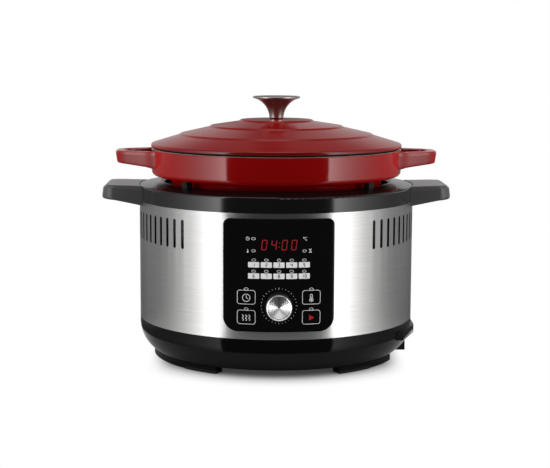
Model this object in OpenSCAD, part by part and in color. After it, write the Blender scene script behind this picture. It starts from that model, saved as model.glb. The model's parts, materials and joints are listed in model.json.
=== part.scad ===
// Multicooker: an electric base that holds a lift-out pot with a lift-off lid.
// Millimetres. The floor is z = 0, the vertical axis of the cooker is Z and the front faces -Y.

/* [Body] */
// Outer radius of the steel wall, the bottom shell and the top ring
body_r = 146; // [140:1:154]
// Height of the feet under the bottom shell
foot_h = 7; // [5:0.5:10]
// Radial width of the feet
foot_w = 13; // [9:1:16]
// Thickness of the rubber foot pads
pad_t = 3; // [2:0.5:4]
// How far the rubber pads stand out below the feet
pad_drop = 0.9; // [0.5:0.1:1.5]
// Height of the bottom shell
shell_h = 34.5; // [32:0.5:40]
// Wall thickness of the bottom shell
shell_t = 2.6; // [2:0.1:3.2]
// How far the shell's rounded side draws in at its lower edge
shell_inset = 16; // [12:0.5:18]
// Straight band of the shell above its round
shell_band = 5.5; // [4:0.5:8]
// Thickness of the ledges inside the shell
ledge_t = 3; // [2.5:0.1:4]
// Distance from the body's radius in to the edge of the bottom cover
cover_inset = 36; // [33:1:40]
// Thickness of the bottom cover
cover_t = 2.5; // [2:0.1:3.5]
// Height of the steel wall
wall_h = 125; // [120:1:150]
// Sheet thickness of the steel wall
wall_t = 1; // [0.6:0.1:1.4]
// Width of the flanges turned in at both ends of the wall
wall_flange = 10; // [9:0.5:12]

/* [Vents] */
// Vent slots on each side
vent_count = 10; // [4:1:11]
// Angle of the first slot from the front, in degrees
vent_first_deg = 41; // [37:0.5:44]
// Distance between slots along the wall
vent_pitch = 11.3; // [9:0.1:12]
// Width of a slot
vent_w = 3.8; // [2:0.1:4.2]
// Height of a slot
vent_h = 29.5; // [15:0.5:40]
// Distance from the wall's top edge down to the slots
vent_drop = 10.3; // [8:0.1:14]

/* [Top ring] */
// Height of the ring's outer face
ring_face_h = 16; // [15:0.5:19]
// How much the ring's top rises towards the pot
ring_rise = 3.5; // [2:0.1:5]
// How far the ring's opening stands back from the inside of the liner
ring_gap = 3; // [2:0.1:4]
// Wall thickness of the ring
ring_t = 2.6; // [2:0.1:3.2]
// Round on the ring's outer top edge
ring_edge = 2; // [1:0.1:3]
// Height of the seat that the liner hangs from, below the ring's crown
liner_seat_drop = 8; // [7:0.5:9]

/* [Base handles] */
// How far the handles stand out from the ring
handle_reach = 38; // [30:1:46]
// Width of a handle near its tip
handle_tip_w = 72; // [64:1:80]
// Taper of a handle's sides, in degrees
handle_taper_deg = 7; // [0:0.5:9]
// Radius of the tip's corners in plan
handle_corner = 15; // [8:0.5:20]
// Thickness of a handle at its root
handle_root_t = 20.5; // [18:0.5:24]
// Thickness of a handle at its tip
handle_tip_t = 15; // [11:0.5:17]
// How much the top of a handle rises towards its tip
handle_lift = 1.3; // [0:0.1:3]
// Bevel along a handle's top edge
handle_edge = 3; // [1:0.1:4]
// Distance between the two screws of a handle
handle_screw_pitch = 44; // [34:1:50]

/* [Pot well] */
// Height of the heating plate's top above the underside of the shell
plate_level = 62.8; // [62:0.1:70]
// How far the edge of the heating plate stays inside the pot's side
plate_inset = 18; // [12:1:24]
// Thickness of the heating plate
plate_t = 10; // [9:0.5:12]
// Height of the posts between the liner's floor and the heating plate
support_h = 9; // [8.5:0.1:10]
// Gap between the pot's side and the liner
liner_gap = 3.5; // [3:0.1:4.5]
// Sheet thickness of the liner
liner_t = 0.8; // [0.6:0.1:1.2]
// Radius of the liner's lower corner
liner_round = 8; // [4:0.5:10]
// Distance from the heating plate's edge in to the loop of the heating element
element_inset = 27; // [22:1:32]
// Radius of the heating element's tube
element_tube_r = 4; // [3:0.1:4.5]
// Radius of the sensor's cap
sensor_r = 11; // [9:0.5:13]
// Travel of the sensor
sensor_travel = 3; // [2:0.1:4]
// Wire radius of the sensor's spring
spring_wire_r = 0.6; // [0.4:0.1:0.8]
// Turns of the sensor's spring
spring_turns = 5; // [4:1:7]

/* [Pot] */
// Distance from the steel wall in to the side of the pot
pot_side_gap = 33; // [31:0.5:36]
// How far the pot's upper band stands out past its side
pot_band_step = 20; // [16:0.5:25]
// Height of the pot's upper band
pot_band_h = 29.6; // [26:0.1:38]
// Wall thickness of the pot
pot_wall = 4; // [3:0.1:5]
// Thickness of the pot's floor
pot_floor_t = 6; // [5:0.1:7]
// Outer radius of the pot's lower corner
pot_corner = 18; // [10:1:28]
// Round under the pot's band
pot_band_round = 5; // [2:0.5:6]
// How far the bare rim is set back from the enamel
rim_inset = 1; // [0.5:0.1:1.5]
// Height of the bare rim
rim_h = 0.9; // [0.5:0.1:1.5]
// How far the loop handles stand out from the band
loop_reach = 38; // [34:0.1:44]
// Width of a loop handle where it meets the band
loop_w = 74; // [66:1:80]
// Slant of a loop's sides, in degrees
loop_taper_deg = 24; // [16:1:26]
// Width of the loop's bar
loop_bar = 11; // [8:0.5:13]
// Corner radius of a loop in plan
loop_corner = 20; // [15:0.5:24]
// Thickness of a loop at its root
loop_root_t = 16.5; // [13:0.5:18]
// Thickness of a loop at its tip
loop_tip_t = 12.2; // [8:0.1:13]
// Distance from the rim down to the top of a loop
loop_drop = 3.4; // [2:0.1:6]

/* [Lid] */
// How far the lid's edge stands out past the pot's band
lid_overhang = 0.5; // [0:0.1:2]
// Height of the lid's edge
lid_edge_h = 4.2; // [3:0.1:6]
// Round of the lid's edge
lid_edge_round = 3; // [1:0.1:3]
// Wall thickness of the lid
lid_t = 4.5; // [3.5:0.1:5.5]
// Radius of the innermost step on the lid
lid_step_r = 38; // [32:0.5:40]
// Distance between the lid's steps
lid_step_w = 31.8; // [28:0.1:33]
// Height of each step
lid_step_h = 1.75; // [1:0.05:2.5]
// Rise of the lid from its edge to the outer step
lid_rise_outer = 8.3; // [6:0.1:11]
// Rise between the outer and the middle step
lid_rise_middle = 6.6; // [4:0.1:9]
// Rise between the middle and the inner step
lid_rise_inner = 4.5; // [3:0.1:7]
// Rise of the crown inside the inner step
lid_rise_crown = 1; // [0.5:0.1:2]
// Depth of the collar under the lid that centres it in the pot
lid_collar_h = 6; // [4:0.5:9]
// Radius of the knob's disc
knob_r = 25.2; // [20:0.1:30]
// Height of the knob
knob_h = 23.6; // [18:0.1:28]
// Radius of the knob's neck
knob_neck_r = 7.5; // [7:0.1:9]
// Thickness of the knob's rim
knob_rim_t = 2.2; // [1.6:0.1:3]

/* [Control panel] */
// Width of the panel, straight across
panel_w = 109.6; // [106:0.1:118]
// Bare strip of the steel wall under the panel
panel_margin_low = 8; // [6:0.1:10]
// Bare strip of the steel wall above the panel
panel_margin_high = 5; // [3:0.1:6]
// Corner radius at the panel's top
panel_corner_high = 6.5; // [5:0.1:9]
// Corner radius at the panel's bottom
panel_corner_low = 14; // [8:0.1:16]
// How far the panel stands out from the steel wall
panel_proud = 1.2; // [0.8:0.1:2]
// Depth of the panel's body behind the face of the steel wall
panel_depth = 4; // [3:0.1:4.5]
// Width of the lip that covers the edge of the wall's window
panel_lip = 3; // [2:0.1:3.5]
// Width of a key
key_w = 18.2; // [15:0.1:19]
// Height of a key
key_h = 14.3; // [12:0.1:15]
// Corner radius of a key
key_corner = 2.5; // [1:0.1:4]
// Gap between the keys and the posts at the panel's sides
key_post_gap = 2.2; // [1:0.1:4]
// Height of the lower keys above the panel's lower edge
key_low = 14.6; // [13:0.1:16]
// Distance between the lower and the upper keys
key_pitch = 19.9; // [19.5:0.1:22]
// Travel of a key
key_travel = 0.6; // [0.3:0.1:0.9]
// Width of an indicator light
guide_w = 4.5; // [3:0.1:5]
// Height of an indicator light
guide_h = 3; // [2:0.1:3.5]
// Columns of indicator lights
guide_columns = 5; // [3:1:5]
// Distance between the columns of indicator lights
guide_pitch_x = 12.4; // [10:0.1:13]
// Distance between the two rows of indicator lights
guide_pitch_z = 11.1; // [9:0.1:12]
// Distance from the panel's top edge down to the upper row of lights
guide_drop = 40.2; // [39:0.1:43]
// Distance from the panel's top edge down to the middle of the display
display_drop = 25.4; // [24.5:0.1:28]
// Width of the display
display_w = 40; // [36:1:42]
// Height of the display
display_h = 14; // [12:0.5:15]
// Gap between the display and the status lights beside it
status_gap = 2.75; // [2:0.05:6]
// Height of the status lights above and below the display's middle
status_z = 6; // [4:0.1:7]
// Radius of the dial
dial_r = 12.9; // [11:0.1:15]
// How far the dial stands out from the panel
dial_l = 12.6; // [9:0.1:16]
// Height of the dial's middle above the panel's lower edge
dial_up = 26.3; // [23:0.1:27]
// Radius of the dial's shaft
shaft_r = 3; // [2.5:0.1:3.4]

/* [Mains inlet] */
// Width of the visor over the inlet
visor_w = 150; // [110:1:156]
// Width of the visor's straight front
visor_front_w = 64; // [60:1:100]
// How far the visor stands out past the wall's radius
visor_proud = 0.5; // [0.5:0.1:3]
// Depth of the visor's bevelled corners
visor_bevel = 15.5; // [8:0.5:16]
// Height of the visor
visor_h = 9; // [7:0.1:11]
// Inner width of the inlet's recess
inlet_w = 46; // [40:1:50]
// Inner height of the inlet's recess
inlet_h = 14.5; // [8:0.1:14.8]
// Inner depth of the inlet's recess
inlet_depth = 26; // [22:0.5:30]
// Width of the lip under the inlet
lip_w = 20; // [16:0.5:24]
// Length of the inlet's pins inside the recess
pin_l = 12; // [8:0.5:15]

/* [Hidden] */

$fn = 96;
// Facets on the rounded corners of hulled solids
hull_facets = 32;
// Facets round the curved panel and what follows its curve
curve_facets = 192;
// Overlap that keeps cuts clear of the faces they open
cut = 1;

// Clearances
fit = 0.1;              // between pieces of one body that are screwed or pushed together
run_fit = 0.05;         // round a shaft that turns or slides in its bearing
move_gap = 0.3;         // between pieces of different bodies
key_gap = 0.25;         // round a key in its window

// Screws: small machine screws of one kind, with longer ones where stated
screw_r = 1.5;
screw_head_r = 3;
screw_head_h = 2.2;
screw_slot = 0.8;
screw_tail = 3;         // thread past a sheet that a screw is driven through
boss_r = 4;
boss_h = 10;
boss_floor = 1;         // solid end of a boss beyond its hole
hole_end = 1;           // room in a blind hole beyond the screw's end

// Radii, from the steel wall inwards
pot_body_r = body_r - pot_side_gap;
pot_band_r = pot_body_r + pot_band_step;
liner_r = pot_body_r + liner_gap;
ring_opening_r = liner_r + ring_gap;
plate_r = pot_body_r - plate_inset;
element_r = plate_r - element_inset;
cover_r = body_r - cover_inset;

// Heights of the base
shell_z0 = foot_h;
shell_z1 = shell_z0 + shell_h;
wall_z1 = shell_z1 + wall_h;
ring_z1 = wall_z1 + ring_face_h;
crown_z = ring_z1 + ring_rise;
liner_seat_z = crown_z - liner_seat_drop;
ledge_z = shell_z0 + cover_t;
ledge_top = ledge_z + ledge_t;
cover_ledge_w = 10;
flange_margin = 1;
screw_inset = 6;
screw_circle = body_r - screw_inset;
screw_count = 6;
screw_step = 360 / screw_count;
screw_angles = [for (k = [0:screw_count - 1]) (k + 0.5) * screw_step];
cover_screw_angles = [for (k = [0:screw_count - 1]) k * screw_step];
cover_screw_r = cover_r - cover_ledge_w / 2;
cover_slots = 24;
cover_slot_r = 70;
cover_slot_l = 30;

// The shell's rounded side is one arc through its upper tangent point and its lower edge
round_h = shell_h - shell_band;
round_z = shell_z1 - shell_band;
round_r = (pow(round_h, 2) + pow(shell_inset, 2)) / (2 * shell_inset);

// Feet: each runs from foot_first_deg to its own end angle, counted from the front or the back
foot_overhang = 1;
foot_r = body_r - shell_inset + foot_overhang;
foot_first_deg = 28.5;
foot_last_left_deg = 85;
foot_last_right_deg = 66;
pad_last_deg = 46.5;
peg_r = 2.5;
peg_h = 3.5;
peg_inset_deg = 5;

// Top ring
ring_crown_r = ring_opening_r + ring_rise;
ring_lip_w = 12;
ring_lip_r = ring_opening_r + ring_lip_w;
ring_bull = 3;
rest_pad_angles = [48, 132, 228, 312];
rest_pad_w = 8;
rest_pad_l = 7;
rest_pad_h = 5.6;
rest_pad_sunk = 2;
rest_pad_offset = 1;
rest_pad_r = ring_crown_r + rest_pad_offset;
rest_pad_z = crown_z - rest_pad_sunk;

// Base handles
handle_depth = 8;       // how far a handle's screws start inside the ring's face
handle_tip_x = body_r + handle_reach;
handle_root_x = body_r - handle_depth;
handle_z = ring_z1;
handle_screw_z = ring_z1 - ring_face_h / 2;
handle_screw_l = 20;
handle_boss_x = body_r - handle_depth;
handle_boss_w = 10;

// Pot well, counted down from the heating plate's top
plate_z1 = shell_z0 + plate_level;
plate_z0 = plate_z1 - plate_t;
liner_floor_z1 = plate_z0 - support_h;
liner_floor_z0 = liner_floor_z1 - liner_t;
liner_hole_r = 26;
liner_flange_r = ring_lip_r;
liner_screw_r = (ring_opening_r + ring_lip_r) / 2;
liner_screw_angles = [for (k = [0:3]) 45 + 90 * k];
liner_grip = 4;         // thread of the liner's screws in the ring
support_r = 5;
support_inset = 10;
support_circle = plate_r - support_inset;
support_angles = [for (k = [0:2]) 90 + 120 * k];
plate_grip = 5;         // thread of the heater's screws in the plate
plate_hole_gap = 3;
plate_hole_r = sensor_r + plate_hole_gap;
element_sunk = 1;
element_z = plate_z0 + element_sunk;
terminal_y = 14.1;      // half the distance between the element's terminals
terminal_step = 3.5;    // how far the tube runs on past each terminal
element_gap_deg = 2 * asin((terminal_y - terminal_step) / element_r);
terminal_drop = 16;
terminal_r = 2.5;
terminal_hole_r = 6;
fuse_r = 3;
fuse_l = 20;
fuse_inset = 26;
fuse_x = element_r - fuse_inset;
fuse_clip_w = 6;
fuse_clip_t = 0.6;
fuse_grip = 4;          // thread of the fuse clip's screw in the plate
fuse_screw_gap = 0.5;
fuse_screw_x = fuse_x + fuse_r + fit + fuse_clip_t + screw_head_r + fuse_screw_gap;

// Sensor, under a recess in the pot's floor
pot_seat_gap = 0.2;
pot_z0 = plate_z1 + pot_seat_gap;
sensor_flush = 0.3;     // how far the sensor goes under the plate's face at the end of its travel
sensor_top_z = plate_z1 + sensor_travel - sensor_flush;
pot_recess_h = sensor_top_z + move_gap - pot_z0;
sensor_cap_h = 10;
sensor_wall = 1.2;
sensor_stem_r = 4;
housing_flange_t = 2;
housing_r = 22;
housing_wall = 2;
housing_flange_r = 40;
housing_h = 14;
housing_z0 = liner_floor_z0 - housing_h;
housing_floor_t = 3;
housing_screw_r = 33;
housing_screw_angles = [for (k = [0:2]) 120 * k];
stem_tail = 4;
sensor_stem_z0 = housing_z0 - stem_tail;
clip_t = 1;
clip_r = 6.5;
spring_r = 7;
spring_z0 = housing_z0 + housing_floor_t + spring_wire_r + fit;
spring_z1 = sensor_top_z - sensor_wall - spring_wire_r - fit;
spring_sides = 6;
spring_rings_per_turn = 12;

// Pot and lid
band_z0 = crown_z + rest_pad_h + move_gap;
rim_z = band_z0 + pot_band_h;
pot_recess_gap = 7;
pot_recess_r = sensor_r + pot_recess_gap;
shoulder_round = 4;
loop_tip_x = pot_band_r + loop_reach;
loop_z1 = rim_z - loop_drop;
loop_corner_x = loop_tip_x - loop_corner;
loop_corner_y = loop_w / 2 - loop_corner * cos(loop_taper_deg)
    - (loop_corner_x + loop_corner * sin(loop_taper_deg) - pot_band_r) * tan(loop_taper_deg);
lid_seat_gap = 0.3;
lid_z0 = rim_z + lid_seat_gap;
lid_r = pot_band_r + lid_overhang;
lid_collar_gap = 1;
lid_collar_r = pot_band_r - pot_wall - lid_collar_gap;
lid_collar_t = 3.5;
lid_edge_z = lid_z0 + lid_edge_h;
lid_step_2_r = lid_step_r + lid_step_w;
lid_step_3_r = lid_step_2_r + lid_step_w;
lid_z3 = lid_edge_z + lid_rise_outer;
lid_z2 = lid_z3 + lid_step_h + lid_rise_middle;
lid_z1 = lid_z2 + lid_step_h + lid_rise_inner;
lid_crown_z = lid_z1 + lid_step_h + lid_rise_crown;
lid_seat_r = 9;
step_run = 1.2;
knob_screw_r = 2.5;
knob_screw_l = 16;
knob_head_r = 5;
knob_head_h = 3;
washer_r = 8;
washer_t = 1;
knob_bevel = 1;
// The knob's flare is one arc, upright at the neck and ending under the rim
knob_flare_h = knob_h - knob_rim_t;
knob_flare_w = knob_r - knob_rim_t / 2 - knob_neck_r;
knob_flare_r = (pow(knob_flare_w, 2) + pow(knob_flare_h, 2)) / (2 * knob_flare_w);

// Control panel
panel_r = body_r + panel_proud;
panel_back_r = body_r - panel_depth;
panel_z0 = shell_z1 + panel_margin_low;
panel_z1 = wall_z1 - panel_margin_high;
panel_h = panel_z1 - panel_z0;
board_inset = 16.4;     // from the steel wall's face to the control board
board_y = -(body_r - board_inset);
board_t = 1.6;
board_side_gap = 1.3;
board_end_gap = 1;
board_w = panel_w - 2 * (panel_lip + board_side_gap);
post_r = 3;
post_edge = 1;
post_inset = panel_lip + post_r + post_edge;
post_x = panel_w / 2 - post_inset;
post_low_z = panel_z0 + max(panel_corner_low, post_inset);
post_high_z = panel_z1 - max(panel_corner_high, post_inset);
panel_grip = 5;         // thread of the panel's screws in its posts
bracket_gap = 0.7;
bracket_wall = 3.5;
bracket_t = 2;
window_fit = 0.3;
key_flange = 1.5;
switch_w = 6;
switch_h = 3;
switch_plunger_r = 1.7;
switch_plunger_h = 0.9;
key_back_y = board_y - switch_h - switch_plunger_h - key_travel - run_fit;
key_x = post_x - post_r - key_post_gap - key_flange - key_w / 2;
key_places = [[-key_x, 1], [-key_x, 0], [key_x, 1], [key_x, 0]];
status_x = display_w / 2 + status_gap + guide_w / 2;
guide_bridge = 0.8;
dial_z = panel_z0 + dial_up;
dial_gap = 0.6;
dial_back_y = -(panel_r + dial_gap);
dial_front_y = dial_back_y - dial_l;
dial_wall = 2;
dial_hub_wall = 2.5;
dial_hub_r = shaft_r + dial_hub_wall;
dial_face_t = 2.5;
dial_bevel = 0.8;
dial_rim = 1;
dial_dish = 0.3;
pointer_w = 1.2;
pointer_l = 3;
encoder_w = 12;
encoder_l = 6.5;
encoder_bush_l = 5;
encoder_bush_wall = 1.2;
encoder_bush_r = shaft_r + encoder_bush_wall;
encoder_floor = 1.5;
shaft_back_y = board_y - encoder_floor;
shaft_front_y = dial_front_y + dial_face_t + move_gap;
display_z = panel_z1 - display_drop;
display_y = -sqrt(pow(panel_back_r, 2) - pow(display_w / 2, 2)) + fit;
guide_z = panel_z1 - guide_drop;

// Power board, on posts that stand on the bottom cover, left of the middle
power_w = 66;
power_d = 80;
power_inset = 11;
power_x = -(cover_r - cover_ledge_w - power_inset - power_w / 2);
power_post_h = 10.5;
power_z = ledge_z + power_post_h;
power_top = power_z + board_t;
power_hole_inset = 5;
power_hole_x = power_w / 2 - power_hole_inset;
power_hole_y = power_d / 2 - power_hole_inset;
relay_size = [20, 16, 16];
relay_shift = [-14, 28];
relay_place = [power_x, 0] + relay_shift;
transformer_size = [28, 20, 18];
transformer_shift = [-10, -29];
transformer_place = [power_x, 0] + transformer_shift;
transformer_cap = 4;
block_size = [12, 26, 10];
block_edge = 1;
block_y = 18;
block_place = [power_x + power_w / 2 - block_size.x / 2 - block_edge, block_y];
lead_r = 1.5;
lead_sides = 8;
lead_bend_x = 40;
lead_rise_l = 40;
tab_size = [7, 7, 9];

// Ribbon cable from the control board down and back to the power board
ribbon_w = 11;
ribbon_t = 1;
ribbon_side_gap = 0.8;
ribbon_x = -(post_x - screw_head_r - ribbon_side_gap - ribbon_w / 2);
ribbon_port_up = 14;
ribbon_port_z = panel_z0 + ribbon_port_up;
ribbon_port_h = 10;
ribbon_port_gap = 1;
ribbon_gap = 1.5;
ribbon_y = board_y + board_t + bracket_t + ribbon_gap;
ribbon_plug_shift = 17.5;
ribbon_plug_x = power_x + ribbon_plug_shift;
ribbon_plug_d = 8;
ribbon_plug_h = 5;

// Mains inlet, on the right side
visor_x = body_r + visor_proud;
visor_root = 30;
visor_root_x = body_r - visor_root;
inlet_floor_t = 2;
visor_z0 = ledge_z + inlet_floor_t + inlet_h;
inlet_wall = 3;
inlet_mouth_out = 8;
inlet_mouth_x = body_r - shell_inset + inlet_mouth_out;
inlet_back_x = inlet_mouth_x - inlet_depth;
inlet_pitch = 11;
pin_r = 2;
pin_z = ledge_z + inlet_floor_t + inlet_h / 2;
socket_t = 7;
socket_side = 7;
socket_w = 2 * (inlet_pitch + socket_side);
socket_margin = 1;
socket_flange_t = 2;
socket_flange_w = 3;
lip_back = 6;
lip_x1 = body_r - lip_back;
lip_root = 4;
lip_x0 = body_r - shell_inset - lip_root;
lip_z0 = 2;

// Turns what is built at the front by an angle towards the right side
module around(angle) {
    rotate([0, 0, angle]) children();
}

// A ring segment between two angles from the front, from a profile in (radius, height)
module ring_segment(first, last) {
    rotate_extrude(angle = last - first, start = first - 90) children();
}

// An outline drawn in (x, z) and carried along Y from one depth to another
module carried(y_from, y_to) {
    translate([0, y_to, 0]) rotate([90, 0, 0]) linear_extrude(y_to - y_from) children();
}

// A rounded rectangle about its centre
module rounded(w, h, r) {
    square([w - 2 * r, h], center = true);
    square([w, h - 2 * r], center = true);
    for (x = [-1, 1], y = [-1, 1]) {
        translate([x * (w / 2 - r), y * (h / 2 - r)]) circle(r);
    }
}

// A slot with round ends, wider than it is high or the other way round
module slot(w, h) {
    r = min(w, h) / 2;
    square([w - (w <= h ? 0 : 2 * r), h - (h < w ? 0 : 2 * r)], center = true);
    for (s = [-1, 1]) {
        translate([w > h ? s * (w / 2 - r) : 0, h > w ? s * (h / 2 - r) : 0]) circle(r);
    }
}

// A screw that points up, its head under z = 0, with a slot across the head
module screw(length, r = screw_r, head_r = screw_head_r, head_h = screw_head_h) {
    difference() {
        union() {
            cylinder(h = length, r = r);
            translate([0, 0, -head_h]) cylinder(h = head_h, r = head_r);
        }
        translate([-screw_slot / 2, -head_r - cut, -head_h - cut])
            cube([screw_slot, 2 * (head_r + cut), head_h / 2 + cut]);
    }
}

function unit(v) = v / norm(v);

// One ring of a tube about a point of its route, square to the route there
function tube_ring(points, i, r, sides) =
    let (
        along = unit(points[min(i + 1, len(points) - 1)] - points[max(i - 1, 0)]),
        across = unit(cross(along, [0, 0, 1])),
        up = cross(across, along)
    )
    [for (k = [0:sides - 1]) points[i] + r * (cos(360 * k / sides) * across + sin(360 * k / sides) * up)];

// A tube through the points of a route that never runs straight up
module tube(points, r, sides) {
    rings = len(points) - 1;
    last = rings * sides;
    side_faces = [for (i = [0:rings - 1], k = [0:sides - 1])
        let (a = i * sides + k, b = i * sides + (k + 1) % sides)
        each [[a, a + sides, b], [b, a + sides, b + sides]]];
    first_cap = [for (k = [1:sides - 2]) [0, k, k + 1]];
    last_cap = [for (k = [1:sides - 2]) [last, last + k + 1, last + k]];
    polyhedron(
        [for (i = [0:rings], p = tube_ring(points, i, r, sides)) p],
        concat(side_faces, first_cap, last_cap)
    );
}

// Outline of the shell in (radius, height), drawn in by a wall
module shell_outline(wall) {
    r = round_r - wall;
    square_z = shell_z0;
    translate([0, round_z]) square([body_r - wall, shell_z1 - round_z]);
    intersection() {
        translate([0, square_z]) square([body_r, round_z - square_z]);
        union() {
            translate([body_r - round_r, round_z]) circle(r);
            translate([0, square_z]) square([body_r - round_r, round_z - square_z]);
        }
    }
}

// Room that the inlet housing takes out of the shell, grown by a gap
module inlet_room(gap) {
    translate([0, -inlet_w / 2 - inlet_wall - gap, ledge_z])
        cube([2 * body_r, inlet_w + 2 * (inlet_wall + gap), visor_z0 - ledge_z + cut]);
    translate([0, 0, visor_z0 - gap]) linear_extrude(visor_h + 2 * gap) visor_outline(gap);
    translate([lip_x0 - gap, -lip_w / 2 - gap, 0]) cube([body_r, lip_w + 2 * gap, ledge_z + cut]);
}

module visor_outline(gap) {
    half = visor_w / 2 + gap;
    front = visor_front_w / 2 + gap;
    corner_x = visor_x - visor_bevel;
    polygon([
        [visor_root_x - gap, -half], [corner_x, -half], [visor_x + gap, -front],
        [visor_x + gap, front], [corner_x, half], [visor_root_x - gap, half],
    ]);
}

module bottom_shell() {
    color("dimgray") difference() {
        union() {
            rotate_extrude() difference() {
                shell_outline(0);
                difference() {
                    shell_outline(shell_t);
                    square([body_r, ledge_top]);
                    difference() {
                        translate([0, shell_z1 - ledge_t]) square([body_r, ledge_t + cut]);
                        square([body_r - wall_flange - flange_margin, shell_z1 + cut]);
                    }
                }
                square([cover_r + fit, ledge_z]);
                square([cover_r - cover_ledge_w, ledge_top + cut]);
            }
            for (a = cover_screw_angles) around(a) translate([0, -cover_screw_r, ledge_z])
                cylinder(h = ledge_t + boss_h, r = boss_r);
        }
        for (a = cover_screw_angles) around(a) translate([0, -cover_screw_r, ledge_z - cut])
            cylinder(h = ledge_t + boss_h - boss_floor + cut, r = screw_r + fit);
        for (a = screw_angles) around(a) translate([0, -screw_circle, shell_z1 - ledge_t - cut])
            cylinder(h = ledge_t + 2 * cut, r = screw_r + fit);
        foot_pegs(fit);
        inlet_room(fit);
    }
}

// The pegs of all feet, grown by a gap
module foot_pegs(gap) {
    for (s = [0, 1]) mirror([0, s, 0]) {
        for (a = peg_angles(foot_last_left_deg)) around(-a) foot_peg(gap);
        for (a = peg_angles(foot_last_right_deg)) around(a) foot_peg(gap);
    }
}

function peg_angles(last) = [foot_first_deg + peg_inset_deg, last - peg_inset_deg];

module foot_peg(gap) {
    translate([0, -(foot_r - foot_w / 2), shell_z0 - cut])
        cylinder(h = cut + peg_h + gap, r = peg_r + gap);
}

module bottom_cover() {
    color("slategray") difference() {
        union() {
            translate([0, 0, shell_z0]) cylinder(h = cover_t, r = cover_r);
            power_posts(ledge_z, power_post_h);
        }
        for (a = cover_screw_angles) around(a) translate([0, -cover_screw_r, shell_z0 - cut]) {
            cylinder(h = cover_t + 2 * cut, r = screw_r + fit);
            cylinder(h = cut + cover_t / 2, r = screw_head_r + fit);
        }
        for (k = [0:cover_slots - 1]) around((k + 0.5) * 360 / cover_slots)
            translate([0, -cover_slot_r, shell_z0 - cut]) linear_extrude(cover_t + 2 * cut)
                slot(vent_w, cover_slot_l);
        for (x = [-1, 1], y = [-1, 1])
            translate([power_x + x * power_hole_x, y * power_hole_y, ledge_z])
                cylinder(h = power_post_h + cut, r = screw_r + fit);
    }
}

module power_posts(z, h) {
    for (x = [-1, 1], y = [-1, 1])
        translate([power_x + x * power_hole_x, y * power_hole_y, z]) cylinder(h = h, r = boss_r);
}

module bottom_screws() {
    length = cover_t / 2 + ledge_t + boss_h - boss_floor - hole_end;
    color("silver") for (a = cover_screw_angles)
        around(a) translate([0, -cover_screw_r, shell_z0 + cover_t / 2])
            screw(length, head_h = min(screw_head_h, cover_t / 2));
}

// A foot from foot_first_deg to an end angle, with the bed of its rubber pad and two pegs into the shell
module foot(last) {
    color("darkslategray") {
        ring_segment(foot_first_deg, last)
            translate([foot_r - foot_w, pad_t]) square([foot_w, foot_h - pad_t]);
        ring_segment(pad_last_deg, last) translate([foot_r - foot_w, pad_drop]) square([foot_w, pad_t]);
        for (a = peg_angles(last)) around(a) foot_peg(0);
    }
}

module front_right_foot() foot(foot_last_right_deg);
module front_left_foot() mirror([1, 0, 0]) foot(foot_last_left_deg);
module rear_right_foot() mirror([0, 1, 0]) foot(foot_last_right_deg);
module rear_left_foot() mirror([0, 1, 0]) mirror([1, 0, 0]) foot(foot_last_left_deg);

module foot_pads() {
    color("black") for (x = [0, 1], y = [0, 1])
        mirror([x, 0, 0]) mirror([0, y, 0])
            ring_segment(foot_first_deg, pad_last_deg)
                translate([foot_r - foot_w, 0]) square([foot_w, pad_t]);
}

// Outline of the panel in (x, z), drawn in by an inset
module panel_outline(inset) {
    w = panel_w - 2 * inset;
    low = max(panel_corner_low - inset, 1);
    high = max(panel_corner_high - inset, 1);
    z0 = panel_z0 + inset;
    z1 = panel_z1 - inset;
    translate([-w / 2, z0 + low]) square([w, z1 - z0 - low - high]);
    translate([-w / 2 + low, z0]) square([w - 2 * low, low + cut]);
    translate([-w / 2 + high, z1 - high - cut]) square([w - 2 * high, high + cut]);
    for (s = [-1, 1]) {
        translate([s * (w / 2 - low), z0 + low]) circle(low);
        translate([s * (w / 2 - high), z1 - high]) circle(high);
    }
}

module steel_wall() {
    vent_step = vent_pitch / body_r * 180 / PI;
    color("silver") difference() {
        rotate_extrude() difference() {
            translate([body_r - wall_flange, shell_z1]) square([wall_flange, wall_h]);
            translate([0, shell_z1 + wall_t]) square([body_r - wall_t, wall_h - 2 * wall_t]);
        }
        for (s = [-1, 1], k = [0:vent_count - 1])
            around(s * (vent_first_deg + k * vent_step))
                translate([0, 0, wall_z1 - vent_drop - vent_h / 2])
                    carried(-body_r - cut, -body_r + wall_t + cut) slot(vent_w, vent_h);
        carried(-body_r - cut, board_y) panel_outline(panel_lip - window_fit);
        for (a = screw_angles, z = [shell_z1, wall_z1 - wall_t]) around(a)
            translate([0, -screw_circle, z - cut]) cylinder(h = wall_t + 2 * cut, r = screw_r + fit);
    }
}

module wall_screws() {
    color("silver") for (a = screw_angles)
        around(a) translate([0, -screw_circle, shell_z1 - ledge_t]) screw(ledge_t + wall_t + screw_tail);
}

// Height of the ring's sloping top at a radius
function ring_top(r) =
    ring_z1 + ring_rise * (body_r - ring_edge - r) / (body_r - ring_edge - ring_crown_r);

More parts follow.
